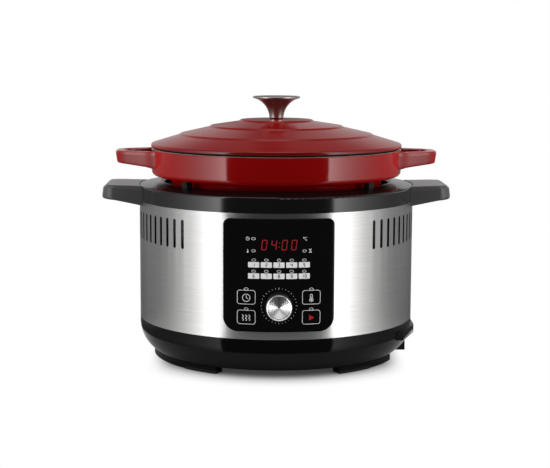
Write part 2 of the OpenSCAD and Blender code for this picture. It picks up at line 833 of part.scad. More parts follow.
module top_ring() {
    edge_r = body_r - ring_edge;
    inner_r = body_r - ring_t;
    color("black") difference() {
        union() {
            rotate_extrude() {
                polygon([
                    [body_r, wall_z1], [body_r, ring_z1 - ring_edge], [edge_r, ring_z1],
                    [ring_crown_r, crown_z], [ring_opening_r, crown_z - ring_bull],
                    [ring_opening_r, liner_seat_z], [ring_lip_r, liner_seat_z],
                    [ring_lip_r, ring_top(ring_lip_r) - ring_t],
                    [inner_r, ring_top(inner_r) - ring_t], [inner_r, wall_z1],
                ]);
                translate([edge_r, ring_z1 - ring_edge]) circle(ring_edge);
                translate([ring_opening_r + ring_bull, crown_z - ring_bull]) circle(ring_bull);
            }
            for (a = screw_angles) around(a) translate([0, -screw_circle, wall_z1])
                cylinder(h = ring_face_h - ring_t, r = boss_r);
            intersection() {
                for (x = [0, 1], y = [-1, 1]) mirror([x, 0, 0])
                    translate([handle_boss_x, y * handle_screw_pitch / 2 - handle_boss_w / 2, wall_z1])
                        cube([handle_depth, handle_boss_w, ring_face_h - ring_t / 2]);
                translate([0, 0, wall_z1]) cylinder(h = ring_face_h, r = body_r - ring_t / 2);
            }
        }
        for (a = screw_angles) around(a) translate([0, -screw_circle, wall_z1 - cut])
            cylinder(h = boss_h + cut, r = screw_r + fit);
        for (a = rest_pad_angles) around(a) rest_pad(fit, cut);
        for (a = liner_screw_angles) around(a) translate([0, -liner_screw_r, liner_seat_z - cut])
            cylinder(h = liner_grip + hole_end + cut, r = screw_r + fit);
        handle_bores(handle_boss_x - cut, body_r + cut);
    }
}

// The holes of the handle screws, from one distance from the middle to another
module handle_bores(x_from, x_to) {
    for (x = [0, 1], y = [-1, 1]) mirror([x, 0, 0])
        translate([x_from, y * handle_screw_pitch / 2, handle_screw_z]) rotate([0, 90, 0])
            cylinder(h = x_to - x_from, r = screw_r + fit);
}

module ring_screws() {
    color("silver") for (a = screw_angles)
        around(a) translate([0, -screw_circle, wall_z1 - wall_t]) screw(wall_t + boss_h - hole_end);
}

// Plan of a handle, drawn in by an inset, with tapered sides and round tip corners
module handle_plan(inset) {
    r = handle_corner - inset;
    centre_x = handle_tip_x - handle_corner;
    centre_y = handle_tip_w / 2 - handle_corner;
    tangent = [centre_x + r * sin(handle_taper_deg), centre_y + r * cos(handle_taper_deg)];
    root_half = tangent.y + (tangent.x - handle_root_x) * tan(handle_taper_deg);
    polygon([
        [handle_root_x, -root_half], [tangent.x, -tangent.y], [centre_x + r, -centre_y],
        [centre_x + r, centre_y], [tangent.x, tangent.y], [handle_root_x, root_half],
    ]);
    for (s = [-1, 1]) translate([centre_x, s * centre_y]) circle(r, $fn = hull_facets);
}

// Side view of a handle in (x, z): its top lifts and its underside rises towards the tip
module handle_side() {
    tip = handle_tip_x + cut;
    root_z0 = handle_z - handle_root_t;
    tip_z0 = handle_z + handle_lift - handle_tip_t;
    polygon([
        [handle_root_x, root_z0], [body_r, root_z0], [tip, tip_z0],
        [tip, handle_z + handle_lift], [body_r, handle_z], [handle_root_x, handle_z],
    ]);
}

module handle() {
    slab = 0.01;
    top_z = handle_z + handle_lift;
    reach_y = handle_tip_w;
    difference() {
        intersection() {
            hull() {
                translate([0, 0, top_z - slab]) linear_extrude(slab) handle_plan(handle_edge);
                translate([0, 0, top_z - handle_edge]) linear_extrude(slab) handle_plan(0);
                translate([0, 0, handle_z - handle_root_t]) linear_extrude(slab) handle_plan(handle_edge / 2);
            }
            carried(-reach_y, reach_y) handle_side();
        }
        translate([0, 0, handle_z - handle_root_t - cut]) cylinder(h = 2 * handle_root_t, r = body_r + fit);
        handle_bores(handle_boss_x, handle_boss_x + handle_screw_l + hole_end);
    }
}

module right_handle() color("dimgray") handle();
module left_handle() color("dimgray") mirror([1, 0, 0]) handle();

module handle_screws() {
    color("silver") for (x = [0, 1], y = [-1, 1]) mirror([x, 0, 0])
        translate([handle_boss_x, y * handle_screw_pitch / 2, handle_screw_z])
            rotate([0, 90, 0]) screw(handle_screw_l);
}

// A rest pad at the front, grown by a gap and lengthened upwards
module rest_pad(gap, extra) {
    translate([-rest_pad_w / 2 - gap, -rest_pad_r - rest_pad_l / 2 - gap, rest_pad_z])
        cube([rest_pad_w + 2 * gap, rest_pad_l + 2 * gap, rest_pad_sunk + rest_pad_h + extra]);
}

module pot_rest_pads() {
    color("darkgray") for (a = rest_pad_angles) around(a) rest_pad(0, 0);
}

// Inside of the liner, or its outside when grown by the sheet
module liner_outline(grow) {
    r = liner_r + grow;
    z0 = liner_floor_z1 - grow;
    corner = liner_round + grow;
    translate([0, z0 + corner]) square([r, liner_seat_z - z0 - corner + cut]);
    translate([0, z0]) square([r - corner, corner + cut]);
    translate([r - corner, z0 + corner]) circle(corner);
}

module inner_liner() {
    color("lightgray") difference() {
        rotate_extrude() {
            difference() {
                intersection() {
                    liner_outline(liner_t);
                    square([body_r, liner_seat_z]);
                }
                liner_outline(0);
            }
            translate([liner_r, liner_seat_z - liner_t]) square([liner_flange_r - liner_r, liner_t]);
        }
        translate([0, 0, liner_floor_z0 - cut]) {
            cylinder(h = liner_t + 2 * cut, r = liner_hole_r);
            for (a = support_angles) around(a) translate([0, -support_circle, 0])
                cylinder(h = liner_t + 2 * cut, r = screw_r + fit);
            for (a = housing_screw_angles) around(a) translate([0, -housing_screw_r, 0])
                cylinder(h = liner_t + 2 * cut, r = screw_r + fit);
            for (p = terminal_places()) translate([p.x, p.y, 0])
                cylinder(h = liner_t + 2 * cut, r = terminal_hole_r);
        }
        for (a = liner_screw_angles) around(a) translate([0, -liner_screw_r, liner_seat_z - liner_t - cut])
            cylinder(h = liner_t + 2 * cut, r = screw_r + fit);
    }
}

module liner_screws() {
    color("silver") for (a = liner_screw_angles)
        around(a) translate([0, -liner_screw_r, liner_seat_z - liner_t]) screw(liner_t + liner_grip);
}

// The terminals near the two ends of the heating element's loop, on the left side
function terminal_places() =
    [for (s = [-1, 1]) [-sqrt(pow(element_r, 2) - pow(terminal_y, 2)), s * terminal_y]];

module heating_plate() {
    color("gainsboro") difference() {
        translate([0, 0, plate_z0]) cylinder(h = plate_t, r = plate_r);
        translate([0, 0, plate_z0 - cut]) cylinder(h = plate_t + 2 * cut, r = plate_hole_r);
        rotate_extrude() translate([element_r, element_z]) circle(element_tube_r + fit);
        for (a = support_angles) around(a) translate([0, -support_circle, plate_z0 - cut])
            cylinder(h = plate_grip + hole_end + cut, r = screw_r + fit);
        translate([fuse_screw_x, 0, plate_z0 - cut])
            cylinder(h = fuse_grip + hole_end + cut, r = screw_r + fit);
    }
}

module heating_element() {
    color("dimgray") {
        rotate_extrude(angle = 360 - element_gap_deg, start = 180 + element_gap_deg / 2)
            translate([element_r, element_z]) circle(element_tube_r);
        for (p = terminal_places()) translate([p.x, p.y, element_z - terminal_drop])
            cylinder(h = terminal_drop, r = terminal_r);
    }
}

module heater_supports() {
    color("gray") for (a = support_angles)
        around(a) translate([0, -support_circle, liner_floor_z1]) difference() {
            cylinder(h = support_h, r = support_r);
            translate([0, 0, -cut]) cylinder(h = support_h + 2 * cut, r = screw_r + fit);
        }
}

module heater_screws() {
    color("silver") for (a = support_angles)
        around(a) translate([0, -support_circle, liner_floor_z0])
            screw(liner_t + support_h + plate_grip);
    color("silver") translate([fuse_screw_x, 0, plate_z0 - fuse_clip_t]) screw(fuse_clip_t + fuse_grip);
}

module thermal_fuse() {
    color("goldenrod") translate([fuse_x, -fuse_l / 2, plate_z0 - fuse_r - fit / 2])
        rotate([-90, 0, 0]) cylinder(h = fuse_l, r = fuse_r);
}

// A strap under the fuse, with a foot that is screwed to the heating plate
module fuse_clip() {
    leg_x = fuse_r + fit;
    strap_z = plate_z0 - 2 * (fuse_r + fit) - fuse_clip_t;
    foot_x = fuse_screw_x + screw_head_r + fuse_screw_gap;
    color("lightsteelblue") difference() {
        translate([0, fuse_clip_w / 2, 0]) rotate([90, 0, 0]) linear_extrude(fuse_clip_w) polygon([
            [fuse_x - leg_x - fuse_clip_t, plate_z0], [fuse_x - leg_x - fuse_clip_t, strap_z],
            [fuse_x + leg_x + fuse_clip_t, strap_z], [fuse_x + leg_x + fuse_clip_t, plate_z0 - fuse_clip_t],
            [foot_x, plate_z0 - fuse_clip_t], [foot_x, plate_z0], [fuse_x + leg_x, plate_z0],
            [fuse_x + leg_x, strap_z + fuse_clip_t], [fuse_x - leg_x, strap_z + fuse_clip_t],
            [fuse_x - leg_x, plate_z0],
        ]);
        translate([fuse_screw_x, 0, plate_z0 - fuse_clip_t - cut])
            cylinder(h = fuse_clip_t + 2 * cut, r = screw_r + fit);
    }
}

module sensor_cap() {
    color("silver") {
        difference() {
            translate([0, 0, sensor_top_z - sensor_cap_h]) cylinder(h = sensor_cap_h, r = sensor_r);
            translate([0, 0, sensor_top_z - sensor_cap_h - cut])
                cylinder(h = sensor_cap_h - sensor_wall + cut, r = sensor_r - sensor_wall);
        }
        translate([0, 0, sensor_stem_z0])
            cylinder(h = sensor_top_z - sensor_wall / 2 - sensor_stem_z0, r = sensor_stem_r);
    }
}

// A helix between the housing's floor and the underside of the cap
module sensor_spring() {
    count = spring_turns * spring_rings_per_turn;
    helix = [for (i = [0:count])
        let (angle = 360 * i / spring_rings_per_turn)
        [spring_r * cos(angle), spring_r * sin(angle), spring_z0 + (spring_z1 - spring_z0) * i / count]];
    color("gray") tube(helix, spring_wire_r, spring_sides);
}

module sensor_housing() {
    flange_z = liner_floor_z0 - housing_flange_t;
    color("dimgray") difference() {
        union() {
            translate([0, 0, housing_z0]) cylinder(h = liner_floor_z0 - housing_z0, r = housing_r);
            translate([0, 0, flange_z]) cylinder(h = housing_flange_t, r = housing_flange_r);
        }
        translate([0, 0, housing_z0 + housing_floor_t])
            cylinder(h = liner_floor_z0 - housing_z0, r = housing_r - housing_wall);
        translate([0, 0, housing_z0 - cut])
            cylinder(h = housing_floor_t + 2 * cut, r = sensor_stem_r + run_fit);
        for (a = housing_screw_angles) around(a) translate([0, -housing_screw_r, flange_z - cut])
            cylinder(h = housing_flange_t + 2 * cut, r = screw_r + fit);
    }
}

module sensor_clip() {
    clip_z0 = housing_z0 - clip_t - fit;
    color("silver") difference() {
        translate([0, 0, clip_z0]) cylinder(h = clip_t, r = clip_r);
        translate([0, 0, clip_z0 - cut]) cylinder(h = clip_t + 2 * cut, r = sensor_stem_r + run_fit);
        translate([0, -sensor_stem_r, clip_z0 - cut])
            cube([clip_r + cut, 2 * sensor_stem_r, clip_t + 2 * cut]);
    }
}

module sensor_screws() {
    color("silver") for (a = housing_screw_angles)
        around(a) translate([0, -housing_screw_r, liner_floor_z0 - housing_flange_t])
            screw(housing_flange_t + liner_t + screw_tail);
}

// A cylinder of the panel's curve, as tall as the panel
module panel_curve(r) {
    translate([0, 0, panel_z0 - cut]) cylinder(h = panel_h + 2 * cut, r = r, $fn = curve_facets);
}

// Places of the indicator lights in (x, z)
function guide_places() = concat(
    [for (row = [0, 1], column = [0:guide_columns - 1])
        [(column - (guide_columns - 1) / 2) * guide_pitch_x, guide_z - row * guide_pitch_z]],
    [for (p = key_places) [p.x, key_z(p.y) + key_h / 2]],
    [[-status_x, display_z + status_z], [-status_x, display_z - status_z], [status_x, display_z - status_z]]
);

function key_z(row) = panel_z0 + key_low + row * key_pitch;

module control_panel() {
    color("black") difference() {
        union() {
            intersection() {
                carried(-panel_r - cut, board_y) panel_outline(0);
                difference() {
                    panel_curve(panel_r);
                    panel_curve(body_r + fit);
                }
            }
            intersection() {
                carried(-panel_r - cut, board_y) panel_outline(panel_lip);
                difference() {
                    panel_curve(body_r + panel_proud / 2);
                    panel_curve(panel_back_r);
                }
            }
            intersection() {
                for (x = [-1, 1], z = [post_low_z, post_high_z])
                    translate([x * post_x, board_y, z]) rotate([90, 0, 0]) cylinder(h = body_r, r = post_r);
                panel_curve(body_r);
            }
        }
        for (x = [-1, 1], z = [post_low_z, post_high_z])
            translate([x * post_x, board_y + cut, z]) rotate([90, 0, 0])
                cylinder(h = panel_grip + hole_end + cut, r = screw_r + fit);
        for (p = key_places) key_window(p);
        for (p = guide_places()) guide_shape(p, fit, -panel_r - cut);
        translate([0, board_y, dial_z]) rotate([90, 0, 0]) cylinder(h = body_r, r = encoder_bush_r + fit);
    }
}

// The window of a key: its outline grown by the key's gap, without the bridge round its light
module key_window(place) {
    carried(-panel_r - cut, board_y) difference() {
        translate([place.x, key_z(place.y)])
            rounded(key_w + 2 * key_gap, key_h + 2 * key_gap, key_corner + key_gap);
        translate([place.x, key_z(place.y) + key_h / 2])
            slot(guide_w + 2 * guide_bridge, guide_h + 2 * guide_bridge);
    }
}

// A light guide from the control board to a given depth, grown by a gap
module guide_shape(place, gap, y_front) {
    carried(y_front, board_y) translate(place) slot(guide_w + 2 * gap, guide_h + 2 * gap);
}

module light_guides() {
    color("whitesmoke") intersection() {
        union() {
            for (p = guide_places()) guide_shape(p, 0, -panel_r - cut);
        }
        panel_curve(panel_r);
    }
}

// A key: its face follows the panel, a flange behind the panel keeps it in, its back is flat
module key(place) {
    color("#202020") difference() {
        union() {
            intersection() {
                carried(-panel_r - cut, key_back_y)
                    translate([place.x, key_z(place.y)]) rounded(key_w, key_h, key_corner);
                panel_curve(panel_r);
            }
            intersection() {
                carried(-panel_r - cut, key_back_y) translate([place.x, key_z(place.y)])
                    rounded(key_w + 2 * key_flange, key_h + 2 * key_flange, key_corner);
                panel_curve(panel_back_r - move_gap);
            }
        }
        carried(-panel_r - 2 * cut, key_back_y + cut) translate([place.x, key_z(place.y) + key_h / 2])
            slot(guide_w + 2 * (guide_bridge + key_gap), guide_h + 2 * (guide_bridge + key_gap));
    }
}

module upper_left_key() key(key_places[0]);
module lower_left_key() key(key_places[1]);
module upper_right_key() key(key_places[2]);
module lower_right_key() key(key_places[3]);

// Places what is drawn along +Z with its base at the dial's back, so that it points to the front
module at_dial(y) {
    translate([0, y, dial_z]) rotate([90, 0, 0]) children();
}

module dial() {
    color("lightgray") at_dial(dial_back_y) difference() {
        union() {
            cylinder(h = dial_l - dial_bevel, r = dial_r);
            translate([0, 0, dial_l - dial_bevel])
                cylinder(h = dial_bevel, r1 = dial_r, r2 = dial_r - dial_bevel);
        }
        translate([0, 0, dial_l - dial_dish])
            cylinder(h = dial_dish + cut, r = dial_r - dial_bevel - dial_rim);
        translate([0, 0, -cut]) difference() {
            cylinder(h = dial_l - dial_face_t + cut, r = dial_r - dial_wall);
            cylinder(h = dial_l, r = dial_hub_r);
        }
        translate([0, 0, -cut]) cylinder(h = dial_l - dial_face_t + cut, r = shaft_r + run_fit);
        translate([-pointer_w / 2, dial_r - dial_bevel - dial_rim - pointer_l, dial_l - 2 * dial_dish])
            cube([pointer_w, pointer_l, 2 * dial_dish + cut]);
    }
}

module encoder_shaft() {
    color("goldenrod") at_dial(shaft_back_y) cylinder(h = shaft_back_y - shaft_front_y, r = shaft_r);
}

module encoder() {
    color("slategray") difference() {
        union() {
            translate([-encoder_w / 2, board_y - encoder_l, dial_z - encoder_w / 2])
                cube([encoder_w, encoder_l, encoder_w]);
            at_dial(board_y - encoder_l) cylinder(h = encoder_bush_l, r = encoder_bush_r);
        }
        at_dial(shaft_back_y + move_gap) cylinder(h = encoder_l + encoder_bush_l, r = shaft_r + run_fit);
    }
}

module display_module() {
    color("firebrick") translate([-display_w / 2, display_y, display_z - display_h / 2])
        cube([display_w, board_y - display_y, display_h]);
}

module control_board() {
    z0 = panel_z0 + panel_lip + board_end_gap;
    z1 = panel_z1 - panel_lip - board_end_gap;
    color("green") difference() {
        translate([-board_w / 2, board_y, z0]) cube([board_w, board_t, z1 - z0]);
        panel_screw_holes();
    }
}

module panel_screw_holes() {
    for (x = [-1, 1], z = [post_low_z, post_high_z])
        translate([x * post_x, board_y + board_t + bracket_t + cut, z]) rotate([90, 0, 0])
            cylinder(h = board_t + bracket_t + 2 * cut, r = screw_r + fit);
}

module panel_screws() {
    color("silver") for (x = [-1, 1], z = [post_low_z, post_high_z])
        translate([x * post_x, board_y + board_t + bracket_t, z]) rotate([90, 0, 0])
            screw(board_t + bracket_t + panel_grip);
}

module key_switches() {
    color("dimgray") for (p = key_places) translate([p.x, board_y, key_z(p.y)]) {
        translate([-switch_w / 2, -switch_h, -switch_w / 2]) cube([switch_w, switch_h, switch_w]);
        rotate([90, 0, 0]) cylinder(h = switch_h + switch_plunger_h, r = switch_plunger_r);
    }
}

// A frame that presses on the inside of the wall round the window and carries the control board
module board_bracket() {
    inset = panel_lip - window_fit - bracket_gap;
    w = panel_w - 2 * inset;
    z0 = panel_z0 + inset;
    h = panel_h - 2 * inset;
    back_y = board_y + board_t + bracket_t;
    port_w = ribbon_w + 2 * ribbon_port_gap;
    color("dimgray") difference() {
        intersection() {
            translate([-w / 2 - bracket_wall, -body_r, z0 - bracket_wall])
                cube([w + 2 * bracket_wall, body_r + back_y, h + 2 * bracket_wall]);
            translate([0, 0, shell_z1]) cylinder(h = wall_h, r = body_r - wall_t - fit, $fn = curve_facets);
        }
        translate([-w / 2, -body_r - cut, z0]) cube([w, body_r + back_y - bracket_t + cut, h]);
        translate([ribbon_x - port_w / 2, back_y - bracket_t - cut, ribbon_port_z - ribbon_port_h / 2])
            cube([port_w, bracket_t + 2 * cut, ribbon_port_h]);
        panel_screw_holes();
    }
}

module power_board() {
    color("green") difference() {
        translate([power_x - power_w / 2, -power_d / 2, power_z]) cube([power_w, power_d, board_t]);
        for (x = [-1, 1], y = [-1, 1])
            translate([power_x + x * power_hole_x, y * power_hole_y, power_z - cut])
                cylinder(h = board_t + 2 * cut, r = screw_r + fit);
    }
}

module board_screws() {
    color("silver") for (x = [-1, 1], y = [-1, 1])
        translate([power_x + x * power_hole_x, y * power_hole_y, power_top]) rotate([180, 0, 0])
            screw(board_t + power_post_h - hole_end);
}

// A block on the power board, placed by its middle
module on_power_board(place, size) {
    translate([place.x - size.x / 2, place.y - size.y / 2, power_top]) cube(size);
}

module relay() color("royalblue") on_power_board(relay_place, relay_size);

module transformer() {
    color("orange") {
        on_power_board(transformer_place, transformer_size);
        on_power_board(transformer_place, transformer_size + [-2 * transformer_cap, 0, transformer_cap / 2]);
    }
}

module terminal_block() {
    color("seagreen") on_power_board(block_place, block_size);
}

// Three leads from the pins of the inlet to the terminal block
module mains_leads() {
    start_x = inlet_back_x - inlet_wall - socket_t;
    end_x = block_place.x + block_size.x / 2;
    block_pitch = block_size.y / 3;
    rise_z = power_top + block_size.z / 2;
    color("brown") for (k = [-1, 0, 1])
        tube([
            [start_x, k * inlet_pitch, pin_z], [lead_bend_x, k * inlet_pitch, pin_z],
            [lead_bend_x - lead_rise_l, block_y + k * block_pitch, rise_z],
            [end_x, block_y + k * block_pitch, rise_z],
        ], lead_r, lead_sides);
}

// Two leads from the power board up to the terminals of the heating element, with their spade tabs
module heater_leads() {
    terminal_z = element_z - terminal_drop;
    color("red") for (p = terminal_places()) {
        on_power_board(p, tab_size);
        translate([p.x, p.y, power_top + tab_size.z / 2])
            cylinder(h = terminal_z - power_top - tab_size.z / 2, r = lead_r);
    }
}

module ribbon_cable() {
    plug_y = -power_d / 2 + ribbon_plug_d;
    top_z = power_top + ribbon_plug_h;
    color("lightgray") {
        translate([ribbon_x - ribbon_w / 2, 0, 0]) rotate([90, 0, 90]) linear_extrude(ribbon_w) polygon([
            [board_y + board_t, ribbon_port_z - ribbon_t / 2], [ribbon_y, ribbon_port_z - ribbon_t / 2],
            [ribbon_y, top_z], [ribbon_y + ribbon_t, top_z],
            [ribbon_y + ribbon_t, ribbon_port_z + ribbon_t / 2],
            [board_y + board_t, ribbon_port_z + ribbon_t / 2],
        ]);
        translate([0, 0, top_z]) linear_extrude(ribbon_t) polygon([
            [ribbon_x - ribbon_w / 2, ribbon_y], [ribbon_x + ribbon_w / 2, ribbon_y],
            [ribbon_plug_x + ribbon_w / 2, plug_y], [ribbon_plug_x - ribbon_w / 2, plug_y],
        ]);
        translate([ribbon_plug_x - ribbon_w / 2, plug_y - ribbon_plug_d, power_top])
            cube([ribbon_w, ribbon_plug_d, ribbon_plug_h]);
    }
}

module inlet_housing() {
    outer_w = inlet_w + 2 * inlet_wall;
    floor_z = ledge_z + inlet_floor_t;
    color("#303030") difference() {
        union() {
            translate([inlet_back_x - inlet_wall, -outer_w / 2, ledge_z])
                cube([inlet_depth + inlet_wall, outer_w, visor_z0 - ledge_z + cut]);
            translate([0, 0, visor_z0]) linear_extrude(visor_h) visor_outline(0);
            translate([lip_x0, -lip_w / 2, lip_z0])
                cube([lip_x1 - lip_x0, lip_w, floor_z - inlet_floor_t / 2 - lip_z0]);
        }
        translate([inlet_back_x, -inlet_w / 2, floor_z]) cube([body_r, inlet_w, inlet_h]);
        translate([inlet_back_x - inlet_wall - cut, -socket_w / 2 - fit, floor_z + socket_margin - fit])
            cube([inlet_wall + 2 * cut, socket_w + 2 * fit, inlet_h - 2 * (socket_margin - fit)]);
    }
}

module inlet_socket() {
    flange_x1 = inlet_back_x - inlet_wall;
    back_x = flange_x1 - socket_t;
    flange_w = socket_w + 2 * socket_flange_w;
    floor_z = ledge_z + inlet_floor_t;
    color("ivory") difference() {
        union() {
            translate([back_x, -socket_w / 2, floor_z + socket_margin])
                cube([socket_t + inlet_wall, socket_w, inlet_h - 2 * socket_margin]);
            translate([flange_x1 - socket_flange_t, -flange_w / 2, floor_z])
                cube([socket_flange_t, flange_w, inlet_h]);
        }
        for (k = [-1, 0, 1]) translate([back_x - cut, k * inlet_pitch, pin_z])
            rotate([0, 90, 0]) cylinder(h = socket_t + inlet_wall + 2 * cut, r = pin_r + run_fit);
    }
}

module inlet_pins() {
    color("gold") for (k = [-1, 0, 1])
        translate([inlet_back_x - inlet_wall - socket_t, k * inlet_pitch, pin_z]) rotate([0, 90, 0])
            cylinder(h = socket_t + inlet_wall + pin_l, r = pin_r);
}

// Outline of a loop handle drawn in by an inset, in (x, y): its sides lean in towards a tip with round corners
module loop_outline(inset) {
    r = loop_corner - inset;
    side_x = loop_corner_x + r * sin(loop_taper_deg);
    side_y = loop_corner_y + r * cos(loop_taper_deg);
    inner_x = pot_band_r - loop_corner;
    inner_y = side_y + (side_x - inner_x) * tan(loop_taper_deg);
    for (s = [-1, 1]) translate([loop_corner_x, s * loop_corner_y]) circle(r);
    polygon([
        [inner_x, -inner_y], [side_x, -side_y], [loop_corner_x + r, -loop_corner_y],
        [loop_corner_x + r, loop_corner_y], [side_x, side_y], [inner_x, inner_y],
    ]);
}

module pot_loop() {
    root_x = pot_band_r - pot_wall;
    intersection() {
        translate([0, 0, band_z0]) linear_extrude(pot_band_h) difference() {
            loop_outline(0);
            loop_outline(loop_bar);
        }
        carried(-loop_w, loop_w) polygon([
            [root_x, loop_z1], [root_x, loop_z1 - loop_root_t], [pot_band_r, loop_z1 - loop_root_t],
            [loop_tip_x + cut, loop_z1 - loop_tip_t], [loop_tip_x + cut, loop_z1],
        ]);
        difference() {
            cylinder(h = rim_z + cut, r = loop_tip_x + loop_w);
            translate([0, 0, -cut]) cylinder(h = rim_z + 3 * cut, r = pot_band_r - pot_wall / 2);
        }
    }
}

// Inside or outside of the pot below its band
module pot_body_outline(r, z0, corner) {
    translate([0, z0 + corner]) square([r, band_z0 - z0 - corner + shoulder_round]);
    translate([0, z0]) square([r - corner, corner + cut]);
    translate([r - corner, z0 + corner]) circle(corner);
}

module pot() {
    inner_r = pot_band_r - pot_wall;
    color("darkred") {
        rotate_extrude() difference() {
            union() {
                pot_body_outline(pot_body_r, pot_z0, pot_corner);
                translate([0, band_z0]) square([pot_band_r - pot_band_round, pot_band_h - rim_h]);
                translate([0, band_z0 + pot_band_round])
                    square([pot_band_r, pot_band_h - pot_band_round - rim_h]);
                translate([pot_band_r - pot_band_round, band_z0 + pot_band_round]) circle(pot_band_round);
                translate([0, rim_z - rim_h - cut]) square([pot_band_r - rim_inset, rim_h + cut]);
            }
            pot_body_outline(pot_body_r - pot_wall, pot_z0 + pot_floor_t, pot_corner - pot_wall);
            translate([0, band_z0 + pot_wall]) square([inner_r, pot_band_h]);
            square([pot_recess_r, pot_z0 + pot_recess_h]);
        }
        for (s = [0, 1]) mirror([s, 0, 0]) pot_loop();
    }
}

// Top of the lid in (radius, height) from its edge to the middle, lowered by a thickness
function lid_line(low) = [
    [lid_r - lid_edge_round, lid_edge_z - low], [lid_step_3_r + step_run, lid_z3 - low],
    [lid_step_3_r, lid_z3 + lid_step_h - low], [lid_step_2_r + step_run, lid_z2 - low],
    [lid_step_2_r, lid_z2 + lid_step_h - low], [lid_step_r + step_run, lid_z1 - low],
    [lid_step_r, lid_z1 + lid_step_h - low], [lid_seat_r, lid_crown_z - low], [0, lid_crown_z - low],
];

module lid() {
    collar_in = lid_collar_r - lid_collar_t;
    color("firebrick") difference() {
        rotate_extrude() {
            difference() {
                polygon(concat([[0, lid_z0], [lid_r - lid_edge_round, lid_z0]], lid_line(0)));
                intersection() {
                    polygon(concat([[0, 0], [lid_r - lid_edge_round, 0]], lid_line(lid_t)));
                    square([collar_in, lid_crown_z]);
                }
            }
            intersection() {
                union() {
                    translate([lid_r - 2 * lid_edge_round, lid_z0])
                        square([2 * lid_edge_round, lid_edge_h - lid_edge_round]);
                    translate([lid_r - lid_edge_round, lid_edge_z - lid_edge_round]) circle(lid_edge_round);
                }
                translate([0, lid_z0]) square([lid_r, lid_edge_h]);
            }
            translate([collar_in, lid_z0 - lid_collar_h]) square([lid_collar_t, lid_collar_h + cut]);
        }
        cylinder(h = lid_crown_z + cut, r = knob_screw_r + fit);
    }
}

module lid_knob() {
    rim_r = knob_rim_t / 2;
    color("gainsboro") translate([0, 0, lid_crown_z]) difference() {
        rotate_extrude() difference() {
            union() {
                square([knob_r - rim_r, knob_h]);
                translate([knob_r - rim_r, knob_h - rim_r]) circle(rim_r);
            }
            translate([knob_neck_r + knob_flare_r, 0]) circle(knob_flare_r);
            polygon([
                [knob_neck_r - knob_bevel, 0], [knob_neck_r + knob_bevel, 0],
                [knob_neck_r + knob_bevel, 2 * knob_bevel],
            ]);
        }
        translate([0, 0, -cut])
            cylinder(h = knob_screw_l - lid_t - washer_t + hole_end + cut, r = knob_screw_r + fit);
    }
}

module knob_screw() {
    color("silver") translate([0, 0, lid_crown_z - lid_t - washer_t])
        screw(knob_screw_l, knob_screw_r, knob_head_r, knob_head_h);
}

module knob_washer() {
    color("gray") translate([0, 0, lid_crown_z - lid_t - washer_t]) difference() {
        cylinder(h = washer_t, r = washer_r);
        translate([0, 0, -cut]) cylinder(h = washer_t + 2 * cut, r = knob_screw_r + fit);
    }
}

bottom_shell();
bottom_cover();
bottom_screws();
front_left_foot();
front_right_foot();
rear_left_foot();
rear_right_foot();
foot_pads();
steel_wall();
wall_screws();
top_ring();
ring_screws();
left_handle();
right_handle();
handle_screws();
pot_rest_pads();
inner_liner();
liner_screws();
heating_plate();
heating_element();
heater_supports();
heater_screws();
thermal_fuse();
fuse_clip();
sensor_cap();
sensor_spring();
sensor_housing();
sensor_clip();
sensor_screws();
control_panel();
light_guides();
upper_left_key();
lower_left_key();
upper_right_key();
lower_right_key();
dial();
encoder_shaft();
encoder();
display_module();
control_board();
key_switches();
board_bracket();
panel_screws();
power_board();
relay();
transformer();
terminal_block();
board_screws();
mains_leads();
heater_leads();
ribbon_cable();
inlet_housing();
inlet_socket();
inlet_pins();
pot();
lid();
lid_knob();
knob_screw();
knob_washer();
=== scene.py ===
"""Looks of the multicooker: enamelled pot and lid, knob, grips, dial, panel prints, finishes and studio.

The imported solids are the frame. Pieces whose edges need rounding replace their solids, prints lie on the
panel and the keys, and every solid that stays gets a procedural finish. Lengths are in metres.
"""
import json
from math import asin, cos, pi, radians, sin, tan

import bmesh
import bpy
import numpy as np
from bpy.props import FloatProperty, FloatVectorProperty, IntProperty, PointerProperty
from mathutils import Matrix, Vector


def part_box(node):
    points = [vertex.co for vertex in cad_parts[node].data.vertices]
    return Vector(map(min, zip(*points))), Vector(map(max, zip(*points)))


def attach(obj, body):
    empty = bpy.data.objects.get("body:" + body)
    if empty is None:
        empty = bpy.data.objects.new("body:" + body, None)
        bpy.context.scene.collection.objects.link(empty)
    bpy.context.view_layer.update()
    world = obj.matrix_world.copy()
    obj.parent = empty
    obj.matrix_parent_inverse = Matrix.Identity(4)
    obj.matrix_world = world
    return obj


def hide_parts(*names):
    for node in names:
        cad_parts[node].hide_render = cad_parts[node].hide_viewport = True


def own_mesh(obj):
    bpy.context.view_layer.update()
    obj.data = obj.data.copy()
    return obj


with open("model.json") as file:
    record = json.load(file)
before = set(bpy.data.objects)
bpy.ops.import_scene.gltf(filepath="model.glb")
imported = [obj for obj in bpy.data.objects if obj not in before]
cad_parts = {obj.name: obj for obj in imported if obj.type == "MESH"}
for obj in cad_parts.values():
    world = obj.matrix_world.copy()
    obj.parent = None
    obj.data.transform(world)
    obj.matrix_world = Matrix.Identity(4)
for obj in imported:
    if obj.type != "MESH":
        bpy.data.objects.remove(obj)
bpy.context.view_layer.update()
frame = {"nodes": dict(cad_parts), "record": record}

bl_info = {
    "name": "Multicooker looks",
    "version": (1, 0, 0),
    "blender": (4, 5, 0),
    "location": "View3D > Sidebar > Cooker",
    "description": "Builds the visible pieces, the finishes and the studio of a multicooker",
    "category": "Object",
}

MM = 0.001
SAME_POINT = 1e-6
SLIVER = 1e-7
SHARP = radians(32)
ROUND_SEGMENTS = 224
SMALL_SEGMENTS = 128

